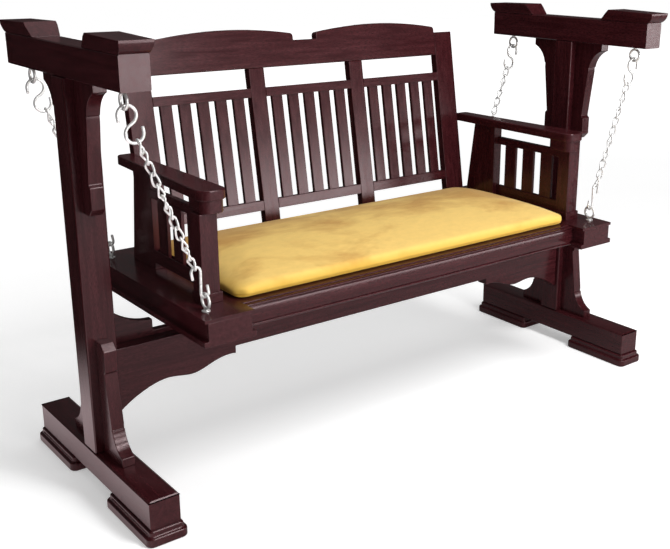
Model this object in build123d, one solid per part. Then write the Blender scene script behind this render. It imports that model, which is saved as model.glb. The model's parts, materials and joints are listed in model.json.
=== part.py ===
from build123d import *
import math
import os

os.makedirs("parts", exist_ok=True)

# Two-seat jhoola: a bench with a reclined slatted back, hung on four chains
# from two trestles that a pair of shaped boards ties together.
# Millimetres. X runs along the seat, the front is -Y, the floor is z = 0.

# ---- fits ----
RUNNING_GAP = 0.3          # between metal rounds that bear on each other
WIRE_SIDES = 8             # flats round a wire
WIRE_BEND = 41.0           # largest turn between two straight runs of a bow
LINK_BEND = 46.0           # the same in the crown of a link
LINK_SIDES = 6             # flats round the wire of a link
JOINT_GAP = 0.4            # round a tenon in its mortise
TENON_LENGTH = 22.0
EDGE_CHAMFER = 2.5         # broken edges of the heavy timbers
OVERCUT = 1.0              # how far a cut runs past the face it opens

# ---- trestles ----
SIDE_CLEARANCE = 97.0      # between the bench and each post
POST_WIDTH = 74.0          # along X
POST_DEPTH = 70.0          # along Y
POST_LENGTH = 897.0        # shoulder to shoulder
POST_TENON_WIDTH = 40.0
POST_TENON_LENGTH = 38.0
FOOT_PAD_HEIGHT = 36.0
FOOT_PAD_STEP = 22.0       # height of the square-edged lower layer
FOOT_PAD_WIDTH = 100.0
FOOT_PAD_LENGTH = 235.0
FOOT_PAD_CORNER = 16.0
FOOT_PAD_OVERHANG = 15.0   # past the end of the foot beam
FOOT_PAD_SET_IN = 8.0      # of the upper layer
FOOT_BEAM_EXTRA = 2.0      # at each end, longer than the head beam
FOOT_BEAM_HEIGHT = 70.0
EYE_TO_BEAM_END = 63.0     # from each chain to the end of the head beam
HEAD_BEAM_WIDTH = 66.0
HEAD_BEAM_HEIGHT = 74.0
CAP_HEIGHT = 32.0
CAP_LIP = 9.0              # square edge above the cove
CAP_BEVEL = 32.0           # 45 degree slope on the inner end
CAP_LENGTH = 178.0         # on the head beam, from the bevel's foot to the end
CAP_FALL = 4.0             # the top slopes down to the outer end
CAP_END_FLARE = 17.0
CAP_SIDE_FLARE = 5.0

# ---- brackets between posts and beams ----
BRACKET_THICKNESS = 32.0
BRACKET_REACH = 105.0
BRACKET_NOSE = 22.0
BRACKET_COVE_HEIGHT = 76.0
BRACKET_NECK = 60.0        # projection at the top of the cove
BRACKET_COVE_DEPTH = 0.36  # middle of the cove, as a share of its height and width
BRACKET_BEAD_SET_BACK = 3.0
BRACKET_BEAD_HEIGHT = 14.0
BRACKET_WAIST = 40.0       # projection at the end of the taper
BRACKET_BLOCK = 47.0       # projection of the end block
BRACKET_BLOCK_HEIGHT = 50.0
BRACKET_END_BEVEL = 16.0
LOWER_BRACKET_HEIGHT = 288.0
UPPER_BRACKET_HEIGHT = 303.0

# ---- stretcher, two boards face to face ----
STRETCHER_SEAM = 14.0      # Y of the face the two boards share
STRETCHER_FRONT_THICKNESS = 38.0
STRETCHER_REAR_THICKNESS = 20.0
STRETCHER_CLEARANCE = 74.0     # between the stretcher and the end rails above it
STRETCHER_DEPTH = 72.0     # of the front board in mid span
STRETCHER_STEP = 20.0      # the scalloped part hangs this much lower
STRETCHER_STEP_REACH = 325.0   # from the post to the step
STRETCHER_SHOULDER = 164.0     # depth of the front board at the post
STRETCHER_OGEE = ((0.21, 0.55), (0.42, 0.76), (0.62, 0.66), (0.80, 0.90))   # shares of run and rise
STRETCHER_TENON_INSET = 16.0   # from the upper and lower edge of each board
REAR_BOARD_LIFT = 12.0         # of its top above the front board
REAR_BOARD_DEPTH = 76.0
REAR_BOARD_FLARE = 86.0        # rise of the rear board at the post
REAR_BOARD_FLARE_REACH = 116.0
REAR_BOARD_SHELF = 29.0        # first step of that rise
REAR_BOARD_CURVE = (0.62, 0.32)    # a point of the curve, as shares of its run and rise

# ---- suspension ----
EYE_RADIUS = 17.0          # to the middle of the ring's wire
EYE_WIRE = 7.0
EYE_NECK = 4.0
EYE_COLLAR_DIAMETER = 20.0
EYE_COLLAR_THICKNESS = 2.5
EYE_SHANK_DIAMETER = 8.0
EYE_SHANK_LENGTH = 36.0
EYE_TO_RAIL_END = 56.5     # from each chain to the end of the bench's end rail
LOWER_EYE_INSET = 85.0     # from the inner face of the end rail
UPPER_HOOK_WIRE = 7.0
UPPER_HOOK_LENGTH = 82.0   # between the middles of the two bearing points
UPPER_HOOK_TOP_BOW = 0.25  # radius of each bow, as a share of the hook's length
UPPER_HOOK_BOTTOM_BOW = 0.244
UPPER_HOOK_TIP = 10.0
LOWER_HOOK_WIRE = 6.5
LOWER_HOOK_LENGTH = 77.0
LOWER_HOOK_TOP_BOW = 0.147
LOWER_HOOK_BOTTOM_BOW = 0.125
LOWER_HOOK_TIP = 16.0
LINK_WIRE = 5.0
LINK_WIDTH = 19.5          # over the wire
LINK_PITCH = 26.6          # aimed at; the links share the length evenly
LINK_TWIST = 45.0          # aimed at; trimmed so the last crown meets its hook square

# ---- bench base ----
SEAT_HEIGHT = 492.0        # top of the deck
BENCH_CLEAR_SPAN = 1136.0  # between the inner faces of the end rails
END_RAIL_WIDTH = 111.0
END_RAIL_LENGTH = 623.0
END_RAIL_DROP = 64.0       # its underside below the seat
END_RAIL_BASE = 13.0       # height of the wider foot moulding
END_RAIL_BASE_FLARE = 11.0
END_PLATE_THICKNESS = 8.0
END_PLATE_WIDTH = 126.0
RAIL_SET_BACK = 42.0       # of the front and rear rails' faces from the ends of the end rails
RAIL_THICKNESS = 40.0
RAIL_DROP = 59.0           # underside of the rails below the seat
RAIL_TENON_INSET = 8.0     # below the deck
RAIL_LIP_DROP = 3.0        # lip of the rail below the top of the deck
RAIL_LIP = 12.0
RAIL_BEAD = 7.0
DECK_THICKNESS = 12.0
BEARER_WIDTH = 45.0
BEARER_DEPTH = 34.0
BEARER_OFFSET = 200.0

# ---- cushion ----
CUSHION_SET_BACK = 22.5    # from the face of the front rail
CUSHION_SIDE_GAP = 3.0
CUSHION_REAR_GAP = 2.3
CUSHION_GAP = 0.3          # above the deck
CUSHION_EDGE = 34.0
CUSHION_CROWN = 62.0
CUSHION_SHOULDER = 0.25    # share of the length over which each end falls
CUSHION_SHOULDER_DROP = 6.0    # below the crown, a third of the way in
CUSHION_CORNER = 28.0

# ---- back, laid out in its own leaning plane ----
BACK_LEAN = 9.13
BACK_SET_BACK = 52.0       # front face at the deck, from the face of the rear rail
BACK_THICKNESS = 25.0
BACK_POST_WIDTH = 72.0
BACK_POST_HEIGHT = 536.0
STILE_WIDTH = 50.0
LOWER_SLAT_RAIL = 64.0     # height of its lower edge along the back
LOWER_SLAT_RAIL_DEPTH = 28.0
SLAT_LENGTH = 292.0        # between the slat rails
UPPER_SLAT_RAIL_DEPTH = 26.0
WINDOW_HEIGHT = 55.0
SLAT_WIDTH = 34.0
SLATS_PER_BAY = 5
SLAT_THICKNESS = 12.0
SLAT_HOUSING = 6.0         # depth of the groove the slat ends sit in
CREST_END_HEIGHT = 88.0    # of the crest rail beside the post
CREST_HUMP_HEIGHT = 108.0
CREST_HUMP_PLACE = 0.56    # share of the way from the middle to the post
CREST_INNER_HEIGHT = 91.0
CREST_NOTCH = 80.0         # width
CREST_NOTCH_HEIGHT = 72.0
CREST_CORNER = 10.0        # rounding at both ends of a hump

# ---- arms ----
ARM_RISE = 268.0           # top of the arm above the seat
ARM_THICKNESS = 24.0
ARM_SET_BACK = 37.5        # of its front from the face of the front rail
ARM_REAR_REACH = 50.5      # past the foot of the back
ARM_WIDTH_FRONT = 72.0
ARM_WIDTH_REAR = 46.0
ARM_NOSE_RADIUS = 26.0
ARM_BLOCK_DEPTH = 32.0
ARM_BLOCK_LENGTH = 74.0
ARM_BLOCK_SET_IN = 6.0
FRONT_POST_WIDTH = 46.0
FRONT_POST_DEPTH = 45.0
FRONT_POST_SET_BACK = 17.5     # from the front of the arm
FRONT_POST_INSET = 24.0    # from the arm's inner edge
PLINTH_HEIGHT = 24.0
PLINTH_FLARE = 4.0
REAR_POST_INSET = 8.0
REAR_POST_THICKNESS = 32.0
REAR_POST_GAP = 1.5        # between its foot and the back
REAR_POST_WIDTH = 126.0    # at the deck
REAR_POST_TAPER = 34.0     # narrower under the arm
PANEL_INSET = 26.0
PANEL_THICKNESS = 16.0
ARM_GRIP = 33.0            # clear height between arm and top rail
SIDE_TOP_RAIL_DEPTH = 23.0
SIDE_BOTTOM_RAIL_RISE = 20.0   # above the deck
SIDE_BOTTOM_RAIL_DEPTH = 34.0
SIDE_SLAT_WIDTH = 47.0
SIDE_SLATS = 3
SIDE_SLAT_THICKNESS = 9.0
PLUG_DIAMETER = 16.0
PLUG_DEPTH = 8.0
PLUG_PROUD = 2.5
PLUG_INSET = 35.0          # from the front edge of the rear post
PLUG_DROP = 14.0           # below the underside of the arm

# ---- places that follow from the sizes above ----
SPAN_HALF = BENCH_CLEAR_SPAN / 2
POST_FACE_X = SPAN_HALF + END_RAIL_WIDTH + SIDE_CLEARANCE
POST_X = POST_FACE_X + POST_WIDTH / 2
EYE_HALF_PITCH = END_RAIL_LENGTH / 2 - EYE_TO_RAIL_END
HEAD_BEAM_LENGTH = 2 * (EYE_HALF_PITCH + EYE_TO_BEAM_END)
FOOT_BEAM_LENGTH = HEAD_BEAM_LENGTH + 2 * FOOT_BEAM_EXTRA
FOOT_TOP = FOOT_PAD_HEIGHT + FOOT_BEAM_HEIGHT
HEAD_BOTTOM = FOOT_TOP + POST_LENGTH
HEAD_TOP = HEAD_BOTTOM + HEAD_BEAM_HEIGHT
EYE_RISE = EYE_NECK + EYE_WIRE / 2 + EYE_RADIUS
LOWER_EYE_X = SPAN_HALF + LOWER_EYE_INSET
DECK_BOTTOM = SEAT_HEIGHT - DECK_THICKNESS
RAIL_TOP = SEAT_HEIGHT - RAIL_LIP_DROP
RAIL_BOTTOM = SEAT_HEIGHT - RAIL_DROP
RAIL_FACE = END_RAIL_LENGTH / 2 - RAIL_SET_BACK
END_RAIL_TOP = SEAT_HEIGHT - END_PLATE_THICKNESS
END_RAIL_BOTTOM = SEAT_HEIGHT - END_RAIL_DROP
END_RAIL_X = SPAN_HALF + END_RAIL_WIDTH / 2
STRETCHER_TOP = END_RAIL_BOTTOM - STRETCHER_CLEARANCE
REAR_BOARD_TOP = STRETCHER_TOP + REAR_BOARD_LIFT
REAR_BOARD_BOTTOM = REAR_BOARD_TOP - REAR_BOARD_DEPTH
BACK_FOOT = RAIL_FACE - BACK_SET_BACK
BACK_SHOULDER = SPAN_HALF - BACK_POST_WIDTH
STILE_INSIDE = (BACK_SHOULDER - STILE_WIDTH) / 3
ARM_BOTTOM = SEAT_HEIGHT + ARM_RISE - ARM_THICKNESS
ARM_FRONT = RAIL_FACE - ARM_SET_BACK
ARM_REAR = BACK_FOOT + ARM_REAR_REACH
FRONT_POST_FACE = ARM_FRONT - FRONT_POST_SET_BACK
REAR_POST_FOOT = BACK_FOOT - REAR_POST_GAP
REAR_POST_HEAD = REAR_POST_FOOT - REAR_POST_TAPER
REAR_POST_FRONT = REAR_POST_FOOT - REAR_POST_WIDTH
PLUG_Y = REAR_POST_FRONT + PLUG_INSET
SIDE_TOP_RAIL_TOP = ARM_BOTTOM - ARM_GRIP
SIDE_BOTTOM_RAIL_BOTTOM = SEAT_HEIGHT + SIDE_BOTTOM_RAIL_RISE
UPPER_SLAT_RAIL = LOWER_SLAT_RAIL + LOWER_SLAT_RAIL_DEPTH + SLAT_LENGTH
CREST_BOTTOM = UPPER_SLAT_RAIL + UPPER_SLAT_RAIL_DEPTH + WINDOW_HEIGHT
BACK_PLANE = Pos(0, BACK_FOOT, SEAT_HEIGHT) * Rot(X=-BACK_LEAN)

# The bearing points of the chain lie on one line from eye to eye.
UPPER_SEAT = Vector(POST_X, 0, HEAD_BOTTOM - EYE_RISE - EYE_RADIUS)
LOWER_SEAT = Vector(LOWER_EYE_X, 0, SEAT_HEIGHT + EYE_RISE + EYE_RADIUS)
SLING_DIRECTION = (UPPER_SEAT - LOWER_SEAT).normalized()
SLING_LEAN = math.degrees(math.atan2(SLING_DIRECTION.X, SLING_DIRECTION.Z))
UPPER_BEARING = EYE_WIRE / 2 + UPPER_HOOK_WIRE / 2 + RUNNING_GAP
LOWER_BEARING = EYE_WIRE / 2 + LOWER_HOOK_WIRE / 2 + RUNNING_GAP
UPPER_PIVOT = UPPER_SEAT + SLING_DIRECTION * UPPER_BEARING
SLING_LENGTH = (UPPER_SEAT - LOWER_SEAT).length + UPPER_BEARING + LOWER_BEARING


def block(x0, x1, y0, y1, z0, z1):
    """Rectangular block between two limits on each axis."""
    return Pos((x0 + x1) / 2, (y0 + y1) / 2, (z0 + z1) / 2) * Box(x1 - x0, y1 - y0, z1 - z0)


def both_ways(shape, plane):
    """The shape and its mirror image, as two separate pieces."""
    return [shape, mirror(shape, about=plane)]


def save(name, pieces):
    """Write one node; a list of pieces stays a group of separate solids."""
    if isinstance(pieces, list):
        pieces = Compound(children=[solid for piece in pieces for solid in piece.solids()])
    export_step(pieces, "parts/" + name + ".step")


def save_pair(name, pieces):
    """Write the right-hand node and its mirror image on the left."""
    pieces = pieces if isinstance(pieces, list) else [pieces]
    save(name + "_right", pieces)
    save(name + "_left", [mirror(piece, about=Plane.YZ) for piece in pieces])


def soften(shape, axis, size):
    """Chamfer the long edges that run along one axis."""
    longest = shape.edges().filter_by(axis).sort_by(SortBy.LENGTH)[-4:]
    return chamfer(longest, size)


# ---------------------------------------------------------------- trestles

def post_tenon(slack):
    """Tenon at both ends of the post, or its mortise when slack is given."""
    half = POST_TENON_WIDTH / 2 + slack
    reach = POST_TENON_LENGTH + slack
    return block(POST_X - half, POST_X + half, -half, half, FOOT_TOP - reach, HEAD_BOTTOM + reach)


def stretcher_tenon(slack, rear):
    """Stub tenon on one stretcher board, reaching into the post."""
    if rear:
        middle = STRETCHER_SEAM + STRETCHER_REAR_THICKNESS / 2
        half = STRETCHER_REAR_THICKNESS / 4
        low, high = REAR_BOARD_BOTTOM, REAR_BOARD_TOP + REAR_BOARD_FLARE
    else:
        middle = STRETCHER_SEAM - STRETCHER_FRONT_THICKNESS / 2
        half = STRETCHER_FRONT_THICKNESS / 4
        low, high = STRETCHER_TOP - STRETCHER_SHOULDER, STRETCHER_TOP
    inset = STRETCHER_TENON_INSET - slack
    return block(POST_FACE_X - slack, POST_FACE_X + TENON_LENGTH + slack, middle - half - slack,
                 middle + half + slack, low + inset, high - inset)


def post():
    half = POST_WIDTH / 2
    body = block(POST_X - half, POST_X + half, -POST_DEPTH / 2, POST_DEPTH / 2, FOOT_TOP, HEAD_BOTTOM)
    body = soften(body, Axis.Z, EDGE_CHAMFER) + post_tenon(0)
    return body - stretcher_tenon(JOINT_GAP, False) - stretcher_tenon(JOINT_GAP, True)


def foot_beam():
    half = POST_WIDTH / 2
    reach = FOOT_BEAM_LENGTH / 2
    body = block(POST_X - half, POST_X + half, -reach, reach, FOOT_PAD_HEIGHT, FOOT_TOP)
    return soften(body, Axis.Y, EDGE_CHAMFER) - post_tenon(JOINT_GAP)


def foot_pad():
    end = FOOT_BEAM_LENGTH / 2 + FOOT_PAD_OVERHANG
    middle = end - FOOT_PAD_LENGTH / 2
    lower = RectangleRounded(FOOT_PAD_WIDTH, FOOT_PAD_LENGTH, FOOT_PAD_CORNER)
    upper = offset(lower, -FOOT_PAD_SET_IN)
    base = extrude(lower, FOOT_PAD_STEP)
    top = extrude(Pos(0, 0, FOOT_PAD_STEP) * upper, FOOT_PAD_HEIGHT - FOOT_PAD_STEP)
    return Pos(POST_X, middle, 0) * (base + top)


def head_beam():
    half = HEAD_BEAM_WIDTH / 2
    reach = HEAD_BEAM_LENGTH / 2
    body = block(POST_X - half, POST_X + half, -reach, reach, HEAD_BOTTOM, HEAD_TOP)
    body = soften(body, Axis.Y, EDGE_CHAMFER) - post_tenon(JOINT_GAP)
    return body - eye_bores(POST_X, HEAD_BOTTOM)


def cap_block():
    """Cap with a coved, flaring outer end and sides and a bevelled inner end."""
    tail = HEAD_BEAM_LENGTH / 2
    start = tail - CAP_LENGTH
    top = HEAD_TOP + CAP_HEIGHT
    lip = top - CAP_LIP
    end = tail + CAP_END_FLARE
    along = Polyline((start, HEAD_TOP), (start + CAP_BEVEL, top), (end, top - CAP_FALL), (end, lip))
    along += RadiusArc((end, lip), (tail, HEAD_TOP), 1.1 * (CAP_HEIGHT - CAP_LIP))
    along += Line((tail, HEAD_TOP), (start, HEAD_TOP))
    inner = HEAD_BEAM_WIDTH / 2
    outer = inner + CAP_SIDE_FLARE
    across = Polyline((-inner, HEAD_TOP), (-outer, lip), (-outer, top), (outer, top), (outer, lip),
                      (inner, HEAD_TOP), close=True)
    length = extrude(Plane.YZ * make_face(along), outer, both=True)
    width = extrude(Plane.XZ * make_face(across), -2 * end)
    return Pos(POST_X, 0, 0) * (length & width)


def bracket(height):
    """Bracket in its own plane: the post's face is Y = 0 and the beam is Z = 0."""
    cove_mid = (BRACKET_NECK + (BRACKET_REACH - BRACKET_NECK) * BRACKET_COVE_DEPTH,
                BRACKET_NOSE + (BRACKET_COVE_HEIGHT - BRACKET_NOSE) * BRACKET_COVE_DEPTH)
    bead = BRACKET_NECK - BRACKET_BEAD_SET_BACK
    bead_top = BRACKET_COVE_HEIGHT + BRACKET_BEAD_HEIGHT
    block_top = height - BRACKET_END_BEVEL
    block_bottom = block_top - BRACKET_BLOCK_HEIGHT
    outline = Polyline((0, 0), (BRACKET_REACH, 0), (BRACKET_REACH, BRACKET_NOSE))
    outline += ThreePointArc((BRACKET_REACH, BRACKET_NOSE), cove_mid, (BRACKET_NECK, BRACKET_COVE_HEIGHT))
    outline += Polyline((BRACKET_NECK, BRACKET_COVE_HEIGHT), (bead, BRACKET_COVE_HEIGHT), (bead, bead_top),
                        (BRACKET_WAIST, block_bottom - (BRACKET_BLOCK - BRACKET_WAIST)),
                        (BRACKET_BLOCK, block_bottom), (BRACKET_BLOCK, block_top),
                        (BRACKET_BLOCK - BRACKET_END_BEVEL, height), (0, height), (0, 0))
    return extrude(Plane.YZ * make_face(outline), BRACKET_THICKNESS / 2, both=True)


def lower_brackets():
    right = Pos(POST_X, POST_DEPTH / 2, FOOT_TOP) * bracket(LOWER_BRACKET_HEIGHT)
    return both_ways(right, Plane.XZ)


def upper_brackets():
    hung = mirror(bracket(UPPER_BRACKET_HEIGHT), about=Plane.XY)
    return both_ways(Pos(POST_X, POST_DEPTH / 2, HEAD_BOTTOM) * hung, Plane.XZ)


def stretcher_front_board():
    """Straight top edge; the lower edge drops at a step and runs in an ogee down the post."""
    end = POST_FACE_X
    flat = STRETCHER_TOP - STRETCHER_DEPTH
    step = flat - STRETCHER_STEP
    foot = STRETCHER_TOP - STRETCHER_SHOULDER
    step_x = end - STRETCHER_STEP_REACH
    ogee = [(end - run * STRETCHER_STEP_REACH, foot + rise * (step - foot)) for run, rise in STRETCHER_OGEE]
    outline = Polyline((0, STRETCHER_TOP), (end, STRETCHER_TOP), (end, foot))
    outline += Spline((end, foot), *ogee, (step_x, step))
    outline += Polyline((step_x, step), (step_x, flat), (0, flat), (0, STRETCHER_TOP))
    half = extrude(Plane.XZ * make_face(outline), STRETCHER_FRONT_THICKNESS)
    half = Pos(0, STRETCHER_SEAM, 0) * half + stretcher_tenon(0, False)
    return half + mirror(half, about=Plane.YZ)


def stretcher_rear_board():
    """Straight lower edge; the top edge steps up and curves up to the post."""
    end = POST_FACE_X
    flare_x = end - REAR_BOARD_FLARE_REACH
    shelf = REAR_BOARD_TOP + REAR_BOARD_SHELF
    tip = REAR_BOARD_TOP + REAR_BOARD_FLARE
    run, rise = REAR_BOARD_CURVE
    on_curve = (flare_x + run * REAR_BOARD_FLARE_REACH, shelf + rise * (tip - shelf))
    outline = Polyline((0, REAR_BOARD_TOP), (flare_x, REAR_BOARD_TOP), (flare_x, shelf))
    outline += ThreePointArc((flare_x, shelf), on_curve, (end, tip))
    outline += Polyline((end, tip), (end, REAR_BOARD_BOTTOM), (0, REAR_BOARD_BOTTOM), (0, REAR_BOARD_TOP))
    half = extrude(Plane.XZ * make_face(outline), -STRETCHER_REAR_THICKNESS)
    half = Pos(0, STRETCHER_SEAM, 0) * half + stretcher_tenon(0, True)
    return half + mirror(half, about=Plane.YZ)


# ------------------------------------------------------------- suspension

def bent_wire(path, diameter, sides, closed=False):
    """Wire with flat sides that runs straight from point to point, with mitred corners."""
    points = [Vector(*point) for point in path]
    count = len(points)
    runs = count if closed else count - 1
    heading = [(points[(i + 1) % count] - points[i]).normalized() for i in range(runs)]
    outward = points[0] - sum(points[1:], points[0]) / count
    across = (outward - heading[0] * outward.dot(heading[0])).normalized()
    beside = heading[0].cross(across)
    frames = []
    for i in range(runs):
        if i > 0:
            mitre = (heading[i - 1] + heading[i]).normalized()
            across = across - mitre * (2 * across.dot(mitre))
            beside = beside - mitre * (2 * beside.dot(mitre))
        frames.append((across, beside))
    turn = 2 * math.pi / sides
    drift, shift = 0.0, 0
    if closed:
        mitre = (heading[-1] + heading[0]).normalized()
        last = across - mitre * (2 * across.dot(mitre))
        spin = math.atan2(last.dot(frames[0][1]), last.dot(frames[0][0]))
        shift = round(spin / turn)
        drift = spin - shift * turn
    corner = diameter / 2
    rings = []
    for i in range(count):
        ahead = heading[min(i, runs - 1)]
        before = heading[i - 1] if closed or i > 0 else ahead
        mitre = (before + ahead).normalized()
        across, beside = frames[min(i, runs - 1)]
        ring = []
        for k in range(sides):
            angle = (k + 0.5) * turn - drift * i / count
            spoke = (across * math.cos(angle) + beside * math.sin(angle)) * corner
            ring.append(points[i] + spoke - ahead * (spoke.dot(mitre) / ahead.dot(mitre)))
        rings.append(ring)
    if closed:
        rings.append([rings[0][(k + shift) % sides] for k in range(sides)])
    faces = []
    for first, second in zip(rings, rings[1:]):
        for k in range(sides):
            faces += strip(first[k], first[k - 1], second[k - 1], second[k])
    if not closed:
        faces += [polygon(rings[0]), polygon(rings[-1])]
    return Solid(Shell(faces))


def polygon(corners):
    """Flat face through a closed ring of corners."""
    return Face(Wire.make_polygon(corners))


def strip(a, b, c, d):
    """One four-cornered face, or two triangles where the corners aren't in one plane."""
    lift = abs((b - a).cross(c - a).normalized().dot(d - a))
    if lift < 1e-6:
        return [polygon([a, b, c, d])]
    return [polygon([a, b, c]), polygon([a, c, d])]


def bow_corners(centre, radius, start, finish, bend=WIRE_BEND):
    """Corners of straight runs laid round an arc in the X-Z plane, touching it at both ends."""
    count = max(1, math.ceil(abs(finish - start) / bend))
    step = math.radians(finish - start) / count
    reach = radius / math.cos(step / 2)
    angles = [math.radians(start) + step * (i + 0.5) for i in range(count)]
    return [(centre[0] + reach * math.cos(a), 0, centre[1] + reach * math.sin(a)) for a in angles]


def bow_tip(centre, radius, angle, along):
    """End of the straight tip that leaves an arc at an angle and runs on along its tangent."""
    a = math.radians(angle)
    return (centre[0] + radius * math.cos(a) - along * math.sin(a), 0,
            centre[1] + radius * math.sin(a) + along * math.cos(a))


def s_hook(length, top_bow, bottom_bow, tip, wire):
    """S-hook that hangs from the origin: the upper bow opens to +X, the lower one to -X."""
    top_radius = top_bow * length
    bottom_radius = bottom_bow * length
    top = (0, -top_radius)
    bottom = (0, bottom_radius - length)
    cross = math.degrees(math.acos((top_radius + bottom_radius) / (top[1] - bottom[1])))
    opening = SLING_LEAN / 2
    path = [bow_tip(top, top_radius, opening, -tip)]
    path += bow_corners(top, top_radius, opening, 90)
    path += bow_corners(top, top_radius, 90, 270 - cross)
    path += bow_corners(bottom, bottom_radius, 90 - cross, -90)
    path += bow_corners(bottom, bottom_radius, -90, opening - 180)
    path.append(bow_tip(bottom, bottom_radius, opening - 180, -tip))
    return bent_wire(path, wire, WIRE_SIDES)


def chain_link(length, twist):
    """Oval link with its lower crown turned against the upper one; its top is the origin."""
    radius = (LINK_WIDTH - LINK_WIRE) / 2
    crown = bow_corners((0, -radius), radius, 0, 180, LINK_BEND)
    foot = bow_corners((0, radius - length), radius, 180, 360, LINK_BEND)
    turned = math.radians(twist)
    path = crown + [(x * math.cos(turned), x * math.sin(turned), z) for x, y, z in foot]
    return bent_wire(path, LINK_WIRE, LINK_SIDES, closed=True)


def chain_links():
    """All the links of one chain, hanging from the origin of the upper hook."""
    first = UPPER_HOOK_LENGTH - (UPPER_HOOK_WIRE + LINK_WIRE) / 2 - RUNNING_GAP
    last = SLING_LENGTH - LOWER_HOOK_LENGTH + (LOWER_HOOK_WIRE + LINK_WIRE) / 2 + RUNNING_GAP
    overlap = LINK_WIRE + RUNNING_GAP
    count = round((last - first - overlap) / LINK_PITCH)
    length = (last - first + (count - 1) * overlap) / count
    # every crown stands square to the next, and the first and last to their hooks
    half_turns = math.floor(count * (90 + LINK_TWIST) / 180) + 0.5
    twist = 180 * half_turns / count - 90
    one = chain_link(length, twist)
    step = length - overlap
    return [Pos(0, 0, -first - step * i) * Rot(Z=90 + (90 + twist) * i) * one for i in range(count)]


def hang(pieces, front):
    """Lean a hanging piece inward to the seat and carry it to its eye on the right."""
    y = -EYE_HALF_PITCH if front else EYE_HALF_PITCH
    place = Pos(UPPER_PIVOT.X, y, UPPER_PIVOT.Z) * Rot(Y=SLING_LEAN)
    return [place * piece for piece in pieces]


def upper_hook():
    return s_hook(UPPER_HOOK_LENGTH, UPPER_HOOK_TOP_BOW, UPPER_HOOK_BOTTOM_BOW, UPPER_HOOK_TIP,
                  UPPER_HOOK_WIRE)


def lower_hook():
    hook = s_hook(LOWER_HOOK_LENGTH, LOWER_HOOK_TOP_BOW, LOWER_HOOK_BOTTOM_BOW, LOWER_HOOK_TIP,
                  LOWER_HOOK_WIRE)
    return Pos(0, 0, LOWER_HOOK_LENGTH - SLING_LENGTH) * hook


def eye_bolt():
    """Screw eye that stands on Z = 0 with its shank below."""
    loop = bow_corners((0, EYE_RISE), EYE_RADIUS, 90, 270) + bow_corners((0, EYE_RISE), EYE_RADIUS, 270, 450)
    ring = Rot(Z=90) * bent_wire(loop, EYE_WIRE, WIRE_SIDES, closed=True)
    shank = RegularPolygon(EYE_SHANK_DIAMETER / 2, LINK_SIDES)
    stem = Pos(0, 0, -EYE_SHANK_LENGTH) * extrude(shank, EYE_SHANK_LENGTH + EYE_NECK + EYE_WIRE / 2)
    collar = extrude(RegularPolygon(EYE_COLLAR_DIAMETER / 2, WIRE_SIDES), EYE_COLLAR_THICKNESS)
    return ring + stem + collar


def eye_bolts(x, z, hanging):
    one = eye_bolt()
    if hanging:
        one = Rot(X=180) * one
    return [Pos(side * x, y, z) * one for side in (-1, 1) for y in (-EYE_HALF_PITCH, EYE_HALF_PITCH)]


# -------------------------------------------------------------- bench base

def rail_tenon(slack, side):
    """Stub tenon of the front (-1) or rear (1) rail, reaching into the end rail."""
    outer = RAIL_FACE - RAIL_THICKNESS / 4
    inner = RAIL_FACE - 3 * RAIL_THICKNESS / 4
    low, high = sorted((side * outer, side * inner))
    return block(SPAN_HALF - slack, SPAN_HALF + TENON_LENGTH + slack, low - slack, high + slack,
                 END_RAIL_BOTTOM + END_RAIL_BASE - slack, DECK_BOTTOM - RAIL_TENON_INSET + slack)


def eye_bores(x, z):
    """Bores for the front and rear eye shanks, through the face at one height."""
    bore = Cylinder(EYE_SHANK_DIAMETER / 2 + RUNNING_GAP, 2 * (EYE_SHANK_LENGTH + RUNNING_GAP))
    return Pos(x, -EYE_HALF_PITCH, z) * bore + Pos(x, EYE_HALF_PITCH, z) * bore


def end_rail():
    """Box-section end rail on a wider base moulding."""
    half = END_RAIL_WIDTH / 2
    foot = half + END_RAIL_BASE_FLARE
    reach = END_RAIL_LENGTH / 2
    base_top = END_RAIL_BOTTOM + END_RAIL_BASE
    outline = Polyline((-foot, END_RAIL_BOTTOM), (-foot, base_top), (-half, base_top), (-half, END_RAIL_TOP),
                       (half, END_RAIL_TOP), (half, base_top), (foot, base_top), (foot, END_RAIL_BOTTOM),
                       close=True)
    body = Pos(END_RAIL_X, 0, 0) * extrude(Plane.XZ * make_face(outline), reach, both=True)
    body -= rail_tenon(JOINT_GAP, -1) + rail_tenon(JOINT_GAP, 1)
    body -= eye_bores(LOWER_EYE_X, SEAT_HEIGHT)
    # the base moulding stops where the front and rear rails butt against the end rail
    inner = SPAN_HALF - END_RAIL_BASE_FLARE - OVERCUT
    notch = block(inner, SPAN_HALF, RAIL_FACE - RAIL_THICKNESS - JOINT_GAP, RAIL_FACE + OVERCUT,
                  END_RAIL_BOTTOM - OVERCUT, base_top)
    return body - notch - mirror(notch, about=Plane.XZ)


def end_plate():
    half = END_PLATE_WIDTH / 2
    reach = END_RAIL_LENGTH / 2
    plate = block(END_RAIL_X - half, END_RAIL_X + half, -reach, reach, END_RAIL_TOP, SEAT_HEIGHT)
    return plate - eye_bores(LOWER_EYE_X, SEAT_HEIGHT)


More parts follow.
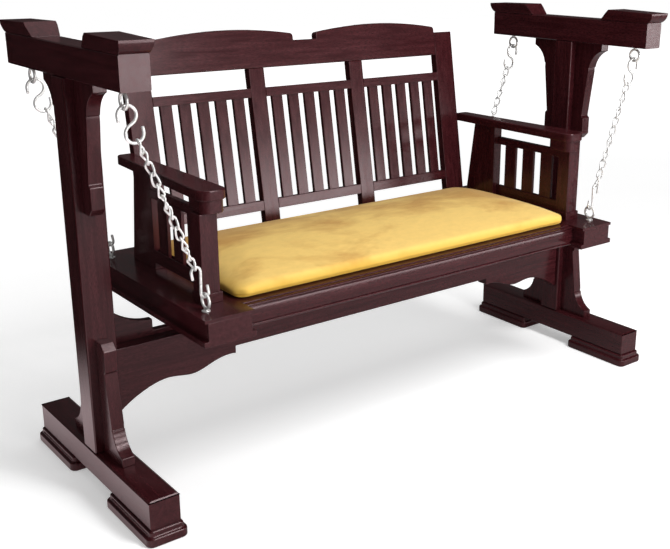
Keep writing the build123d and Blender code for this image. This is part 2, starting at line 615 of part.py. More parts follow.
def bench_rail(side):
    """Front (-1) or rear (1) rail with a bead along its lower and upper edge."""
    face = RAIL_FACE
    back = face - RAIL_THICKNESS
    lip = face - RAIL_LIP
    bead = RAIL_BEAD / 2
    outline = Polyline((back, RAIL_BOTTOM), (back, DECK_BOTTOM), (lip, DECK_BOTTOM), (lip, RAIL_TOP),
                       (face - bead, RAIL_TOP))
    outline += ThreePointArc((face - bead, RAIL_TOP), (face, RAIL_TOP - bead),
                             (face - bead, RAIL_TOP - 2 * bead))
    outline += Polyline((face - bead, RAIL_TOP - 2 * bead), (face - bead / 2, RAIL_TOP - 3 * bead),
                        (face - bead / 2, RAIL_BOTTOM + 3 * bead), (face - bead, RAIL_BOTTOM + 2 * bead))
    outline += ThreePointArc((face - bead, RAIL_BOTTOM + 2 * bead), (face, RAIL_BOTTOM + bead),
                             (face - bead, RAIL_BOTTOM))
    outline += Line((face - bead, RAIL_BOTTOM), (back, RAIL_BOTTOM))
    body = extrude(Plane.YZ * make_face(outline), SPAN_HALF, both=True)
    # the end plates oversail the rail
    over = (END_PLATE_WIDTH - END_RAIL_WIDTH) / 2
    rebate = block(SPAN_HALF - over, SPAN_HALF + OVERCUT, back, face + OVERCUT, END_RAIL_TOP, SEAT_HEIGHT)
    body -= rebate + mirror(rebate, about=Plane.YZ)
    if side < 0:
        body = mirror(body, about=Plane.XZ)
    tenon = rail_tenon(0, side)
    return body + tenon + mirror(tenon, about=Plane.YZ)


def seat_deck():
    half = SPAN_HALF - (END_PLATE_WIDTH - END_RAIL_WIDTH) / 2
    reach = RAIL_FACE - RAIL_LIP
    return block(-half, half, -reach, reach, DECK_BOTTOM, SEAT_HEIGHT)


def deck_bearers():
    reach = RAIL_FACE - RAIL_THICKNESS
    half = BEARER_WIDTH / 2
    one = block(BEARER_OFFSET - half, BEARER_OFFSET + half, -reach, reach, DECK_BOTTOM - BEARER_DEPTH,
                DECK_BOTTOM)
    return both_ways(one, Plane.YZ)


def cushion():
    """Plain closed solid of the cushion: low edges and a crown that flattens in the middle."""
    base = SEAT_HEIGHT + CUSHION_GAP
    edge = base + CUSHION_EDGE
    crown = base + CUSHION_CROWN
    half = SPAN_HALF - CUSHION_SIDE_GAP
    flat = half - 2 * half * CUSHION_SHOULDER
    shoulder = (half - 2 * half * CUSHION_SHOULDER / 3, crown - CUSHION_SHOULDER_DROP)
    along = Polyline((0, base), (half, base), (half, edge))
    along += ThreePointArc((half, edge), shoulder, (flat, crown))
    along += Polyline((flat, crown), (0, crown), (0, base))
    front = CUSHION_SET_BACK - RAIL_FACE
    rear = BACK_FOOT - CUSHION_REAR_GAP
    across = Polyline((rear, edge), (rear, base), (front, base), (front, edge))
    across += ThreePointArc((front, edge), ((rear + front) / 2, crown), (rear, edge))
    right = extrude(Plane.XZ * make_face(along), RAIL_FACE, both=True)
    right &= extrude(Plane.YZ * make_face(across), half)
    right = chamfer(right.edges().filter_by(Axis.Z).group_by(Axis.X)[-1], CUSHION_CORNER)
    return right + mirror(right, about=Plane.YZ)


# -------------------------------------------------------------------- back

def on_back(shape):
    """Carry a piece drawn upright on the back's plane to its leaning place, cut level at the deck."""
    below = block(-SPAN_HALF, SPAN_HALF, 0, 2 * BACK_FOOT, SEAT_HEIGHT - 2 * BACK_THICKNESS, SEAT_HEIGHT)
    return BACK_PLANE * shape - below


def back_rail_tenon(slack, low, high):
    """Tenon of a back rail in the right-hand back post."""
    third = BACK_THICKNESS / 3
    inset = (high - low) / 6 - slack
    return block(BACK_SHOULDER - slack, BACK_SHOULDER + TENON_LENGTH + slack, third - slack,
                 2 * third + slack, low + inset, high - inset)


def back_rail_levels():
    return [(LOWER_SLAT_RAIL, LOWER_SLAT_RAIL + LOWER_SLAT_RAIL_DEPTH),
            (UPPER_SLAT_RAIL, UPPER_SLAT_RAIL + UPPER_SLAT_RAIL_DEPTH),
            (CREST_BOTTOM, CREST_BOTTOM + CREST_NOTCH_HEIGHT)]


def back_post():
    body = block(BACK_SHOULDER, SPAN_HALF, 0, BACK_THICKNESS, -BACK_THICKNESS, BACK_POST_HEIGHT)
    for low, high in back_rail_levels():
        body -= back_rail_tenon(JOINT_GAP, low, high)
    return on_back(body)


def stile():
    """Upright between deck and crest rail, halved over both slat rails."""
    outside = STILE_INSIDE + STILE_WIDTH
    body = block(STILE_INSIDE, outside, 0, BACK_THICKNESS, -BACK_THICKNESS, CREST_BOTTOM)
    for low, high in back_rail_levels()[:2]:
        body -= block(STILE_INSIDE - OVERCUT, outside + OVERCUT, BACK_THICKNESS / 2, BACK_THICKNESS + OVERCUT,
                      low, high)
    return on_back(body)


def slat_groove(low, high):
    half = SLAT_THICKNESS / 2 + JOINT_GAP
    middle = BACK_THICKNESS / 2
    return block(-BACK_SHOULDER, BACK_SHOULDER, middle - half, middle + half, low, high)


def slat_rail(level, groove_low, groove_high):
    low, high = back_rail_levels()[level]
    body = block(-BACK_SHOULDER, BACK_SHOULDER, 0, BACK_THICKNESS, low, high)
    body -= slat_groove(groove_low, groove_high)
    halving = block(STILE_INSIDE, STILE_INSIDE + STILE_WIDTH, -OVERCUT, BACK_THICKNESS / 2, low - OVERCUT,
                    high + OVERCUT)
    body -= halving + mirror(halving, about=Plane.YZ)
    tenon = back_rail_tenon(0, low, high)
    return on_back(body + tenon + mirror(tenon, about=Plane.YZ))


def lower_slat_rail():
    top = LOWER_SLAT_RAIL + LOWER_SLAT_RAIL_DEPTH
    return slat_rail(0, top - SLAT_HOUSING, top + OVERCUT)


def upper_slat_rail():
    return slat_rail(1, UPPER_SLAT_RAIL - OVERCUT, UPPER_SLAT_RAIL + SLAT_HOUSING)


def back_slats():
    """Even slats in the three bays between the posts and the stiles."""
    outer_edge = STILE_INSIDE + STILE_WIDTH
    low = LOWER_SLAT_RAIL + LOWER_SLAT_RAIL_DEPTH - SLAT_HOUSING
    high = UPPER_SLAT_RAIL + SLAT_HOUSING
    middle = BACK_THICKNESS / 2
    half = SLAT_THICKNESS / 2
    slats = []
    bays = ((-BACK_SHOULDER, -outer_edge), (-STILE_INSIDE, STILE_INSIDE), (outer_edge, BACK_SHOULDER))
    for left, right in bays:
        gap = (right - left - SLATS_PER_BAY * SLAT_WIDTH) / (SLATS_PER_BAY + 1)
        for i in range(SLATS_PER_BAY):
            x = left + gap + i * (SLAT_WIDTH + gap)
            slats.append(BACK_PLANE * block(x, x + SLAT_WIDTH, middle - half, middle + half, low, high))
    return slats


def crest_rail():
    """Top rail with two long humps and a wide notch in the middle."""
    inner = CREST_NOTCH / 2
    notch = CREST_BOTTOM + CREST_NOTCH_HEIGHT
    hump_start = (inner, CREST_BOTTOM + CREST_INNER_HEIGHT)
    hump_top = (CREST_HUMP_PLACE * BACK_SHOULDER, CREST_BOTTOM + CREST_HUMP_HEIGHT)
    hump_end = (BACK_SHOULDER, CREST_BOTTOM + CREST_END_HEIGHT)
    outline = Polyline(hump_start, (inner, notch), (0, notch), (0, CREST_BOTTOM),
                       (BACK_SHOULDER, CREST_BOTTOM), hump_end)
    outline += ThreePointArc(hump_end, hump_top, hump_start)
    face = make_face(outline)
    corners = [corner for corner in face.vertices() if corner.Y > notch + OVERCUT]
    face = fillet(corners, CREST_CORNER)
    half = extrude(Plane.XZ * face, -BACK_THICKNESS)
    low, high = back_rail_levels()[2]
    half += back_rail_tenon(0, low, high)
    return on_back(half + mirror(half, about=Plane.YZ))


# -------------------------------------------------------------------- arms

def arm():
    """Tapering slab with a round nose and a deeper block under the nose."""
    inner = SPAN_HALF
    corners = [(inner, -ARM_FRONT), (inner + ARM_WIDTH_FRONT, -ARM_FRONT), (inner + ARM_WIDTH_REAR, ARM_REAR),
               (inner, ARM_REAR)]
    face = make_face(Polyline(*corners, close=True))
    face = fillet(face.vertices().group_by(Axis.Y)[0], ARM_NOSE_RADIUS)
    rear_corner = face.vertices().group_by(Axis.Y)[-1].sort_by(Axis.X)[-1]
    face = fillet(rear_corner, ARM_NOSE_RADIUS / 2)
    slab = Pos(0, 0, ARM_BOTTOM) * extrude(face, ARM_THICKNESS)
    slab = chamfer(slab.edges().group_by(Axis.Z)[-1], EDGE_CHAMFER)
    set_in = ARM_BLOCK_SET_IN
    low = Pos(0, 0, ARM_BOTTOM - ARM_BLOCK_DEPTH) * extrude(offset(face, -set_in), ARM_BLOCK_DEPTH)
    low &= block(inner, inner + ARM_WIDTH_FRONT, -ARM_FRONT, -ARM_FRONT + set_in + ARM_BLOCK_LENGTH,
                 ARM_BOTTOM - ARM_BLOCK_DEPTH, ARM_BOTTOM)
    return slab + low


def front_arm_post():
    x = SPAN_HALF + FRONT_POST_INSET
    return block(x, x + FRONT_POST_WIDTH, -FRONT_POST_FACE, -FRONT_POST_FACE + FRONT_POST_DEPTH, SEAT_HEIGHT,
                 ARM_BOTTOM - ARM_BLOCK_DEPTH)


def post_plinths():
    """Collar round the foot of each front arm post."""
    x = SPAN_HALF + FRONT_POST_INSET
    outer = block(x - PLINTH_FLARE, x + FRONT_POST_WIDTH + PLINTH_FLARE, -FRONT_POST_FACE - PLINTH_FLARE,
                  -FRONT_POST_FACE + FRONT_POST_DEPTH, SEAT_HEIGHT, SEAT_HEIGHT + PLINTH_HEIGHT)
    return both_ways(outer - front_arm_post(), Plane.YZ)


def rear_arm_post():
    """Board on edge beside the back, its rear edge sloping forward towards the arm."""
    x = SPAN_HALF + REAR_POST_INSET
    outline = Polyline((REAR_POST_FRONT, SEAT_HEIGHT), (REAR_POST_FRONT, ARM_BOTTOM),
                       (REAR_POST_HEAD, ARM_BOTTOM), (REAR_POST_FOOT, SEAT_HEIGHT), close=True)
    body = Pos(x, 0, 0) * extrude(Plane.YZ * make_face(outline), REAR_POST_THICKNESS)
    return body - plug_at(JOINT_GAP / 4)


def plug_at(slack):
    """Round cover plug in the inner face of the rear arm post, or its bore."""
    x = SPAN_HALF + REAR_POST_INSET
    height = PLUG_DEPTH + PLUG_PROUD + slack
    plug = Cylinder(PLUG_DIAMETER / 2 + slack, height, align=(Align.CENTER, Align.CENTER, Align.MIN))
    return Pos(x - PLUG_PROUD, PLUG_Y, ARM_BOTTOM - PLUG_DROP) * Rot(Y=90) * plug


def side_rail(low, high):
    """Rail that butts against the front and rear arm posts."""
    x = SPAN_HALF + PANEL_INSET
    return block(x, x + PANEL_THICKNESS, -FRONT_POST_FACE + FRONT_POST_DEPTH, REAR_POST_FRONT, low, high)


def side_groove(low, high):
    x = SPAN_HALF + PANEL_INSET + PANEL_THICKNESS / 2
    half = SIDE_SLAT_THICKNESS / 2 + JOINT_GAP
    return block(x - half, x + half, -FRONT_POST_FACE, REAR_POST_FRONT + OVERCUT, low, high)


def side_top_rail():
    low = SIDE_TOP_RAIL_TOP - SIDE_TOP_RAIL_DEPTH
    return side_rail(low, SIDE_TOP_RAIL_TOP) - side_groove(low - OVERCUT, low + SLAT_HOUSING)


def side_bottom_rail():
    high = SIDE_BOTTOM_RAIL_BOTTOM + SIDE_BOTTOM_RAIL_DEPTH
    return side_rail(SIDE_BOTTOM_RAIL_BOTTOM, high) - side_groove(high - SLAT_HOUSING, high + OVERCUT)


def side_slats():
    x = SPAN_HALF + PANEL_INSET + PANEL_THICKNESS / 2
    start = -FRONT_POST_FACE + FRONT_POST_DEPTH
    gap = (REAR_POST_FRONT - start - SIDE_SLATS * SIDE_SLAT_WIDTH) / (SIDE_SLATS + 1)
    low = SIDE_BOTTOM_RAIL_BOTTOM + SIDE_BOTTOM_RAIL_DEPTH - SLAT_HOUSING
    high = SIDE_TOP_RAIL_TOP - SIDE_TOP_RAIL_DEPTH + SLAT_HOUSING
    half = SIDE_SLAT_THICKNESS / 2
    slats = []
    for i in range(SIDE_SLATS):
        y = start + gap + i * (SIDE_SLAT_WIDTH + gap)
        slats += both_ways(block(x - half, x + half, y, y + SIDE_SLAT_WIDTH, low, high), Plane.YZ)
    return slats


# ------------------------------------------------------------------- write

save("foot_pads", [piece for half in both_ways(foot_pad(), Plane.XZ) for piece in both_ways(half, Plane.YZ)])
save_pair("foot_beam", foot_beam())
save_pair("post", post())
save_pair("head_beam", head_beam())
save_pair("cap_blocks", both_ways(cap_block(), Plane.XZ))
save_pair("lower_brackets", lower_brackets())
save_pair("upper_brackets", upper_brackets())
save("stretcher_front_board", stretcher_front_board())
save("stretcher_rear_board", stretcher_rear_board())
save("upper_eye_bolts", eye_bolts(POST_X, HEAD_BOTTOM, True))

links = chain_links()
for place, front in (("front", True), ("rear", False)):
    save_pair("upper_hook_" + place, hang([upper_hook()], front))
    save_pair("chain_" + place, hang(links, front))
    save_pair("lower_hook_" + place, hang([lower_hook()], front))

save("lower_eye_bolts", eye_bolts(LOWER_EYE_X, SEAT_HEIGHT, False))
save_pair("end_rail", end_rail())
save_pair("end_plate", end_plate())
save("front_rail", bench_rail(-1))
save("rear_rail", bench_rail(1))
save("seat_deck", seat_deck())
save("deck_bearers", deck_bearers())
save("cushion", cushion())

save_pair("back_post", back_post())
save_pair("back_stile", stile())
save("lower_slat_rail", lower_slat_rail())
save("upper_slat_rail", upper_slat_rail())
save("back_slats", back_slats())
save("crest_rail", crest_rail())

save_pair("arm", arm())
save_pair("front_arm_post", front_arm_post())
save_pair("rear_arm_post", rear_arm_post())
save("post_plinths", post_plinths())
save("arm_plugs", both_ways(plug_at(0), Plane.YZ))
save_pair("side_top_rail", side_top_rail())
save_pair("side_bottom_rail", side_bottom_rail())
save("side_slats", side_slats())

print("upper pivot", round(UPPER_PIVOT.X, 3), round(UPPER_PIVOT.Z, 3))
lower_pivot = UPPER_PIVOT - SLING_DIRECTION * SLING_LENGTH
print("lower pivot", round(lower_pivot.X, 3), round(lower_pivot.Z, 3))
print("links", len(links))
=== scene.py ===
# %% [markdown]
# # A jhoola, the two-seat bench that hangs on chains
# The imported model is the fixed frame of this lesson. It already has every piece at its
# true size and place, so each look is added round it and nothing is ever moved.

# %% The frame
import json
from math import acos, ceil, cos, degrees, floor, pi, radians, sin

import bmesh
import bpy
import numpy as np
from mathutils import Matrix, Vector


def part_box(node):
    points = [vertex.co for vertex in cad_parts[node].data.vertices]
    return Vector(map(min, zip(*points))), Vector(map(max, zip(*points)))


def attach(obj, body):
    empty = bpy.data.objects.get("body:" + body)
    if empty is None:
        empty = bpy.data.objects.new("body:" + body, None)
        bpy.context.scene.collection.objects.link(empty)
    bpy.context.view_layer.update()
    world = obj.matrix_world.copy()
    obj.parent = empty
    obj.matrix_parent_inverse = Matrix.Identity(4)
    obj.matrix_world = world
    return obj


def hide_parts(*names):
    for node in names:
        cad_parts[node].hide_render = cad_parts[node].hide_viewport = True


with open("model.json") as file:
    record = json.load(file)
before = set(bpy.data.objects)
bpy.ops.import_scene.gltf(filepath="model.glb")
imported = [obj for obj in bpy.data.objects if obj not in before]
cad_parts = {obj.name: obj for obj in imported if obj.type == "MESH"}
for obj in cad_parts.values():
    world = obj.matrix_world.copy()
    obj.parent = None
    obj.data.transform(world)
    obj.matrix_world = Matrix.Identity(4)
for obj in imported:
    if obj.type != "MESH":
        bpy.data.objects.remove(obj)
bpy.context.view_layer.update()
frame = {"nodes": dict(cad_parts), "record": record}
MM = 0.001
body_of = {node: body for body, nodes in frame["record"]["behaviour"]["bodies"].items() for node in nodes}

# %% [markdown]
# ## The camera
# It stands to the left of the swing, a little above the arms, and looks down on the
# seat. Its place, heading and lens are plain numbers, so the view never drifts.

# %% The camera
CAMERA_PLACE = Vector((-1.6521, -2.1648, 1.2794))
CAMERA_YAW, CAMERA_PITCH, CAMERA_ROLL = radians(39.73), radians(-17.03), radians(0.70)
SENSOR_WIDTH, LENS = 36, 53.59
SHIFT_X, SHIFT_Y = -0.1086, -0.0315
ahead = Vector((sin(CAMERA_YAW) * cos(CAMERA_PITCH), cos(CAMERA_YAW) * cos(CAMERA_PITCH), sin(CAMERA_PITCH)))
level = Vector((cos(CAMERA_YAW), -sin(CAMERA_YAW), 0))
upright = level.cross(ahead)
right = level * cos(CAMERA_ROLL) + upright * sin(CAMERA_ROLL)
above = upright * cos(CAMERA_ROLL) - level * sin(CAMERA_ROLL)
bpy.ops.object.camera_add()
camera = bpy.context.object
camera.name = "camera"
camera.matrix_world = Matrix.Translation(CAMERA_PLACE) @ Matrix((right, above, -ahead)).transposed().to_4x4()
camera.data.sensor_width = SENSOR_WIDTH
camera.data.lens = LENS
camera.data.shift_x, camera.data.shift_y = SHIFT_X, SHIFT_Y
bpy.context.scene.camera = camera
bpy.context.scene.view_settings.view_transform = "Standard"
print("camera at", tuple(camera.location))

# %% [markdown]
# ## The lamps
# Lacquer shows mostly what it mirrors. A long, low panel in front of the swing is what
# its front faces mirror, so they glow. Two small strong lamps, one high in front
# and one at head height, draw a highlight along every eased edge and cove, and a broad
# panel overhead lights the velvet and every face that leans back.

# %% The lamps
SEAT_MIDDLE = (0, 0, 0.55)


def soft_panel(name, place, target, width, height, power):
    """A rectangular lamp that faces a target, sized in metres and watts."""
    bpy.ops.object.light_add(type="AREA", location=place)
    lamp = bpy.context.object
    lamp.name = name
    lamp.data.shape = "RECTANGLE"
    lamp.data.size, lamp.data.size_y = width, height
    lamp.data.energy = power
    lamp.rotation_euler = (Vector(target) - Vector(place)).to_track_quat("-Z", "Y").to_euler()


soft_panel("front_panel", (2.6, -3.3, 0.68), (2.6, 0, 0.68), width=5.4, height=0.5, power=78)
soft_panel("high_lamp", (0.6, -2.1, 3.3), SEAT_MIDDLE, width=0.85, height=1.3, power=70)
soft_panel("cove_lamp", (0.5, -3.1, 1.9), SEAT_MIDDLE, width=0.8, height=1.0, power=30)
soft_panel("top_panel", (-0.1, 0.1, 3.4), SEAT_MIDDLE, width=2.4, height=1.6, power=16)
print("lamps:", [lamp.name for lamp in bpy.data.lights])

# %% [markdown]
# ## Helpers for finishes
# An effect that several finishes share is one node group with named sockets. These
# helpers make a finish, a group and its nodes, so each recipe below stays short.

# %% Helpers for finishes
SOCKET_KIND = {"value": "NodeSocketFloat", "colour": "NodeSocketColor", "vector": "NodeSocketVector"}


def new_finish(name):
    """An empty finish: the material, its node tree and its surface node."""
    made = bpy.data.materials.new(name)
    made.use_nodes = True
    return made, made.node_tree, made.node_tree.nodes["Principled BSDF"]


def new_group(name, takes, gives):
    """A shader node group with named inputs and outputs; takes holds each input's kind and value."""
    group = bpy.data.node_groups.new(name, "ShaderNodeTree")
    for socket, (kind, value) in takes.items():
        made = group.interface.new_socket(socket, in_out="INPUT", socket_type=SOCKET_KIND[kind])
        if value is not None:
            made.default_value = value
    for socket, kind in gives.items():
        group.interface.new_socket(socket, in_out="OUTPUT", socket_type=SOCKET_KIND[kind])
    entry = group.nodes.new("NodeGroupInput")
    result = group.nodes.new("NodeGroupOutput")
    return group, entry.outputs, result.inputs


def node(tree, kind, links=None, settings=None, **values):
    """A node of a tree with its settings, plain input values and links already made."""
    made = tree.nodes.new("ShaderNode" + kind)
    for key, value in (settings or {}).items():
        setattr(made, key, value)
    for key, value in values.items():
        made.inputs[key.replace("_", " ")].default_value = value
    for key, source in (links or {}).items():
        tree.links.new(source, made.inputs[key])
    return made


def spread(tree, value, span, levels=(0.0, 1.0)):
    """Turn a value's span into two levels; a level is a number or another node's output."""
    made = node(tree, "MapRange", {"Value": value}, From_Min=span[0], From_Max=span[1])
    for key, level in zip(("To Min", "To Max"), levels):
        if isinstance(level, bpy.types.NodeSocket):
            tree.links.new(level, made.inputs[key])
        else:
            made.inputs[key].default_value = level
    return made.outputs["Result"]


def ramp(tree, factor, stops):
    """A colour ramp; each stop is a place and a colour."""
    made = node(tree, "ValToRGB", {"Fac": factor})
    elements = made.color_ramp.elements
    while len(elements) < len(stops):
        elements.new(0.5)
    for element, (place, colour) in zip(elements, stops):
        element.position = place
        element.color = (*colour, 1)
    return made.outputs["Color"]


def grey(value):
    """A neutral colour."""
    return (value, value, value)


print("helpers ready")

# %% [markdown]
# ## Sky and floor
# The sky is pale for the camera and as a soft fill, but a glossy face would turn grey if
# it mirrored that much white. Light Path tells the two apart: what a face mirrors is a
# dim room with one glow in front of the swing, near the floor, and a softer one high
# behind it. The low faces also mirror the pale floor, but only near the swing: farther
# out the mirrored floor is dark. To the left of the swing it is brighter and glows a
# little pink, for the left faces mirror only that. For the camera alone the floor is
# lifted, a little near the swing and more farther out, so that it runs into the sky
# without a line.

# %% Sky and floor
SKY_FILL, SKY_DIM, SKY_AHEAD, SKY_BEHIND = 0.42, 0.012, 0.5, 0.08
AHEAD_SPAN, LOW_SPAN, HIGH_SHARE = (-0.25, -0.8), (0.0, 0.3), 0.25
BEHIND_SPAN, RAISED_SPAN = (0.1, 0.4), (0.07, 0.2)
sky = bpy.data.worlds.new("studio_sky")
bpy.context.scene.world = sky
sky.use_nodes = True
room = sky.node_tree
heading = node(room, "SeparateXYZ", {"Vector": node(room, "TexCoord").outputs["Generated"]}).outputs
in_front = spread(room, heading["Y"], AHEAD_SPAN)
near_floor = spread(room, heading["Z"], LOW_SPAN, (1.0, HIGH_SHARE))
ahead_glow = node(room, "Math", {0: in_front, 1: near_floor}, {"operation": "MULTIPLY"})
dim_or_ahead = spread(room, ahead_glow.outputs["Value"], (0.0, 1.0), (SKY_DIM, SKY_AHEAD))
behind = spread(room, heading["Y"], BEHIND_SPAN, (0.0, SKY_BEHIND))
raised_up = spread(room, heading["Z"], RAISED_SPAN)
mirrored_sky = node(room, "Math", {0: behind, 1: raised_up, 2: dim_or_ahead},
                    {"operation": "MULTIPLY_ADD"})
sight = node(room, "LightPath").outputs
seen_sky = node(room, "Mix", {"Factor": sight["Is Camera Ray"]}, {"data_type": "FLOAT"},
                A=SKY_FILL, B=1.0)
sky_light = node(room, "Mix", {"Factor": sight["Is Glossy Ray"], "A": seen_sky.outputs["Result"],
                               "B": mirrored_sky.outputs["Value"]}, {"data_type": "FLOAT"})
backdrop = room.nodes["Background"]
backdrop.inputs["Color"].default_value = (1.0, 1.0, 1.0, 1)
room.links.new(sky_light.outputs["Result"], backdrop.inputs["Strength"])

FLOOR_HALF = 12
FLOOR_MOTTLE = [(0.3, grey(0.93)), (0.7, grey(0.96))]
LIFT_SPAN, LIFT_NEAR, LIFT_FAR = (2.5, 7.0), 0.3, 0.8
MIRROR_MIDDLE, MIRROR_SPAN = Vector((1.0, -1.2, 0)), (2.6, 3.0)
MIRROR_AHEAD, MIRROR_LEFT, MIRROR_DARK = 0.54, 1.0, 0.02
LEFT_SPAN, LEFT_GLOW, LEFT_TINT = (-0.80, -0.95), 0.95, (1, 0.70, 0.74, 1)
bpy.ops.mesh.primitive_plane_add(size=2 * FLOOR_HALF, location=(0, 0, 0))
studio_floor = bpy.context.object
studio_floor.name = "studio_floor"
paint, painted, paint_surface = new_finish("studio_paint")
ray = node(painted, "LightPath").outputs
spot = node(painted, "TexCoord").outputs["Object"]
mottle = node(painted, "TexNoise", {"Vector": spot}, Scale=1.3, Detail=3.0)
pale = ramp(painted, mottle.outputs["Fac"], FLOOR_MOTTLE)
from_middle = node(painted, "Mapping", {"Vector": spot}, Location=-MIRROR_MIDDLE)
reach = node(painted, "VectorMath", {"Vector": from_middle.outputs["Vector"]}, {"operation": "LENGTH"})
distance = reach.outputs["Value"]
across = node(painted, "SeparateXYZ", {"Vector": spot}).outputs["X"]
brightest = spread(painted, across, LEFT_SPAN, (MIRROR_AHEAD, MIRROR_LEFT))
mirrored = spread(painted, distance, MIRROR_SPAN, (brightest, MIRROR_DARK))
floor_colour = node(painted, "Mix", {"Factor": ray["Is Glossy Ray"], "A": pale, "B": mirrored},
                    {"data_type": "RGBA"})
far_lift = spread(painted, distance, LIFT_SPAN, (LIFT_NEAR, LIFT_FAR))
lift = spread(painted, ray["Is Camera Ray"], (0.0, 1.0), (0.0, far_lift))
near = spread(painted, distance, MIRROR_SPAN, (LEFT_GLOW, 0.0))
on_left = spread(painted, across, LEFT_SPAN, (0.0, near))
glow = node(painted, "Math", {0: on_left, 1: ray["Is Glossy Ray"], 2: lift},
            {"operation": "MULTIPLY_ADD"})
glow_colour = node(painted, "Mix", {"Factor": ray["Is Glossy Ray"]}, {"data_type": "RGBA"},
                   A=(1, 1, 1, 1), B=LEFT_TINT)
painted.links.new(floor_colour.outputs["Result"], paint_surface.inputs["Base Color"])
painted.links.new(glow.outputs["Value"], paint_surface.inputs["Emission Strength"])
painted.links.new(glow_colour.outputs["Result"], paint_surface.inputs["Emission Color"])
paint_surface.inputs["Roughness"].default_value = 0.95
paint_surface.inputs["Specular IOR Level"].default_value = 0.1
studio_floor.data.materials.append(paint)
print("sky mirrored at", SKY_AHEAD, "ahead,", SKY_BEHIND, "high behind and", SKY_DIM, "elsewhere")

# %% [markdown]
# ## Lacquered timber
# The real finish is a dark reddish stain under gloss lacquer. The grain is noise that
# is stretched along the board, in two sizes: slow bands of figure, and fine pores that
# also dent the surface a little. Object coordinates keep it fixed to the piece, and a
# Mapping node turns it along each board.

# %% The grain group
STAIN_DARK = (0.030, 0.0046, 0.0062, 1)
STAIN_WARM = (0.062, 0.0115, 0.0145, 1)
STAIN_PORE = (0.022, 0.004, 0.005, 1)
LACQUER_TINT = (1.0, 0.80, 0.82, 1)
FINE = 14
ALONG = {"X": (1, FINE, FINE), "Y": (FINE, 1, FINE), "Z": (FINE, FINE, 1)}


def grain_group():
    """Stained timber: its colour, its roughness and the height of its pores."""
    group, takes, gives = new_group(
        "board_grain",
        {"Vector": ("vector", None), "Dark": ("colour", STAIN_DARK), "Warm": ("colour", STAIN_WARM),
         "Figure": ("value", 7.0), "Pores": ("value", 95.0)},
        {"Color": "colour", "Roughness": "value", "Height": "value"})
    figure = node(group, "TexNoise", {"Vector": takes["Vector"], "Scale": takes["Figure"]},
                  Detail=5.0, Roughness=0.62, Distortion=0.5)
    pores = node(group, "TexNoise", {"Vector": takes["Vector"], "Scale": takes["Pores"]},
                 Detail=3.0, Roughness=0.55)
    band = ramp(group, figure.outputs["Fac"], [(0.36, grey(0.0)), (0.66, grey(1.0))])
    pore = ramp(group, pores.outputs["Fac"], [(0.40, grey(0.0)), (0.56, grey(1.0))])
    colour = node(group, "Mix", {"Factor": band, "A": takes["Dark"], "B": takes["Warm"]},
                  {"data_type": "RGBA"})
    darker = node(group, "Mix", {"Factor": pore, "B": colour.outputs["Result"]},
                  {"data_type": "RGBA"}, A=STAIN_PORE)
    rough = spread(group, figure.outputs["Fac"], (0.3, 0.7), (0.18, 0.25))
    group.links.new(darker.outputs["Result"], gives["Color"])
    group.links.new(rough, gives["Roughness"])
    group.links.new(pore, gives["Height"])
    return group


GRAIN = grain_group()


def lacquer(name, axis, offset):
    """Gloss lacquer over stained timber whose grain runs along one axis."""
    made, tree, surface = new_finish(name)
    place = node(tree, "TexCoord")
    turned = node(tree, "Mapping", {"Vector": place.outputs["Object"]}, Location=offset, Scale=ALONG[axis])
    board = node(tree, "Group", {}, {"node_tree": GRAIN})
    tree.links.new(turned.outputs["Vector"], board.inputs["Vector"])
    bump = node(tree, "Bump", {"Height": board.outputs["Height"]}, Strength=0.02, Distance=0.0004)
    tree.links.new(board.outputs["Color"], surface.inputs["Base Color"])
    tree.links.new(board.outputs["Roughness"], surface.inputs["Roughness"])
    tree.links.new(bump.outputs["Normal"], surface.inputs["Normal"])
    surface.inputs["Specular IOR Level"].default_value = 0.38
    surface.inputs["Specular Tint"].default_value = LACQUER_TINT
    return made


print("grain group with", len(GRAIN.nodes), "nodes")

# %% [markdown]
# ## Every board of the swing
# The frame's boards have crisp edges, and no joiner leaves those: each arris is eased
# with a plane and rounded further by the lacquer. A copy of every board is merged, its
# flat triangles are dissolved into clean faces, and a Bevel modifier rounds its edges.
# The highlight that runs along each edge comes from this. The upper edges at the ends
# of the foot beams, where feet brush past, are first worn down to a wider chamfer.

# %% Handling one piece at a time
def hold(piece):
    """Make a piece the only selected and active one."""
    bpy.ops.object.select_all(action="DESELECT")
    piece.select_set(True)
    bpy.context.view_layer.objects.active = piece


def select_faces(test):
    """In edit mode, select only the faces whose middle and normal pass the test."""
    shape = bmesh.from_edit_mesh(bpy.context.object.data)
    for face in shape.faces:
        face.select_set(False)
    for face in shape.faces:
        if test(face.calc_center_median(), face.normal):
            face.select_set(True)
    bmesh.update_edit_mesh(bpy.context.object.data)


def select_points(test):
    """In edit mode, select only the points whose place passes the test."""
    shape = bmesh.from_edit_mesh(bpy.context.object.data)
    for point in shape.verts:
        point.select_set(test(point.co))
    shape.select_flush_mode()
    bmesh.update_edit_mesh(bpy.context.object.data)


def dress(piece, finish, slot_name, body, *stands_for):
    """Give a finished piece its finish, its body and the nodes it stands for; its slot name is not used."""
    piece.data.materials.clear()
    piece.data.materials.append(finish)
    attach(piece, body)
    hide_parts(*stands_for)


MERGE_WITHIN, FLAT_WITHIN = 0.02 * MM, radians(0.5)
END_WITHIN = 0.1 * MM
ROUND_STEPS, ROUND_FROM = 3, radians(32)


def wear_end_edges(source, width):
    """In edit mode, chamfer the upper edge at both ends of a beam that runs along Y."""
    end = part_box(source)[1]
    select_points(lambda place: abs(place.y) > end.y - END_WITHIN and place.z > end.z - END_WITHIN)
    bpy.ops.mesh.bevel(offset=width, segments=1)


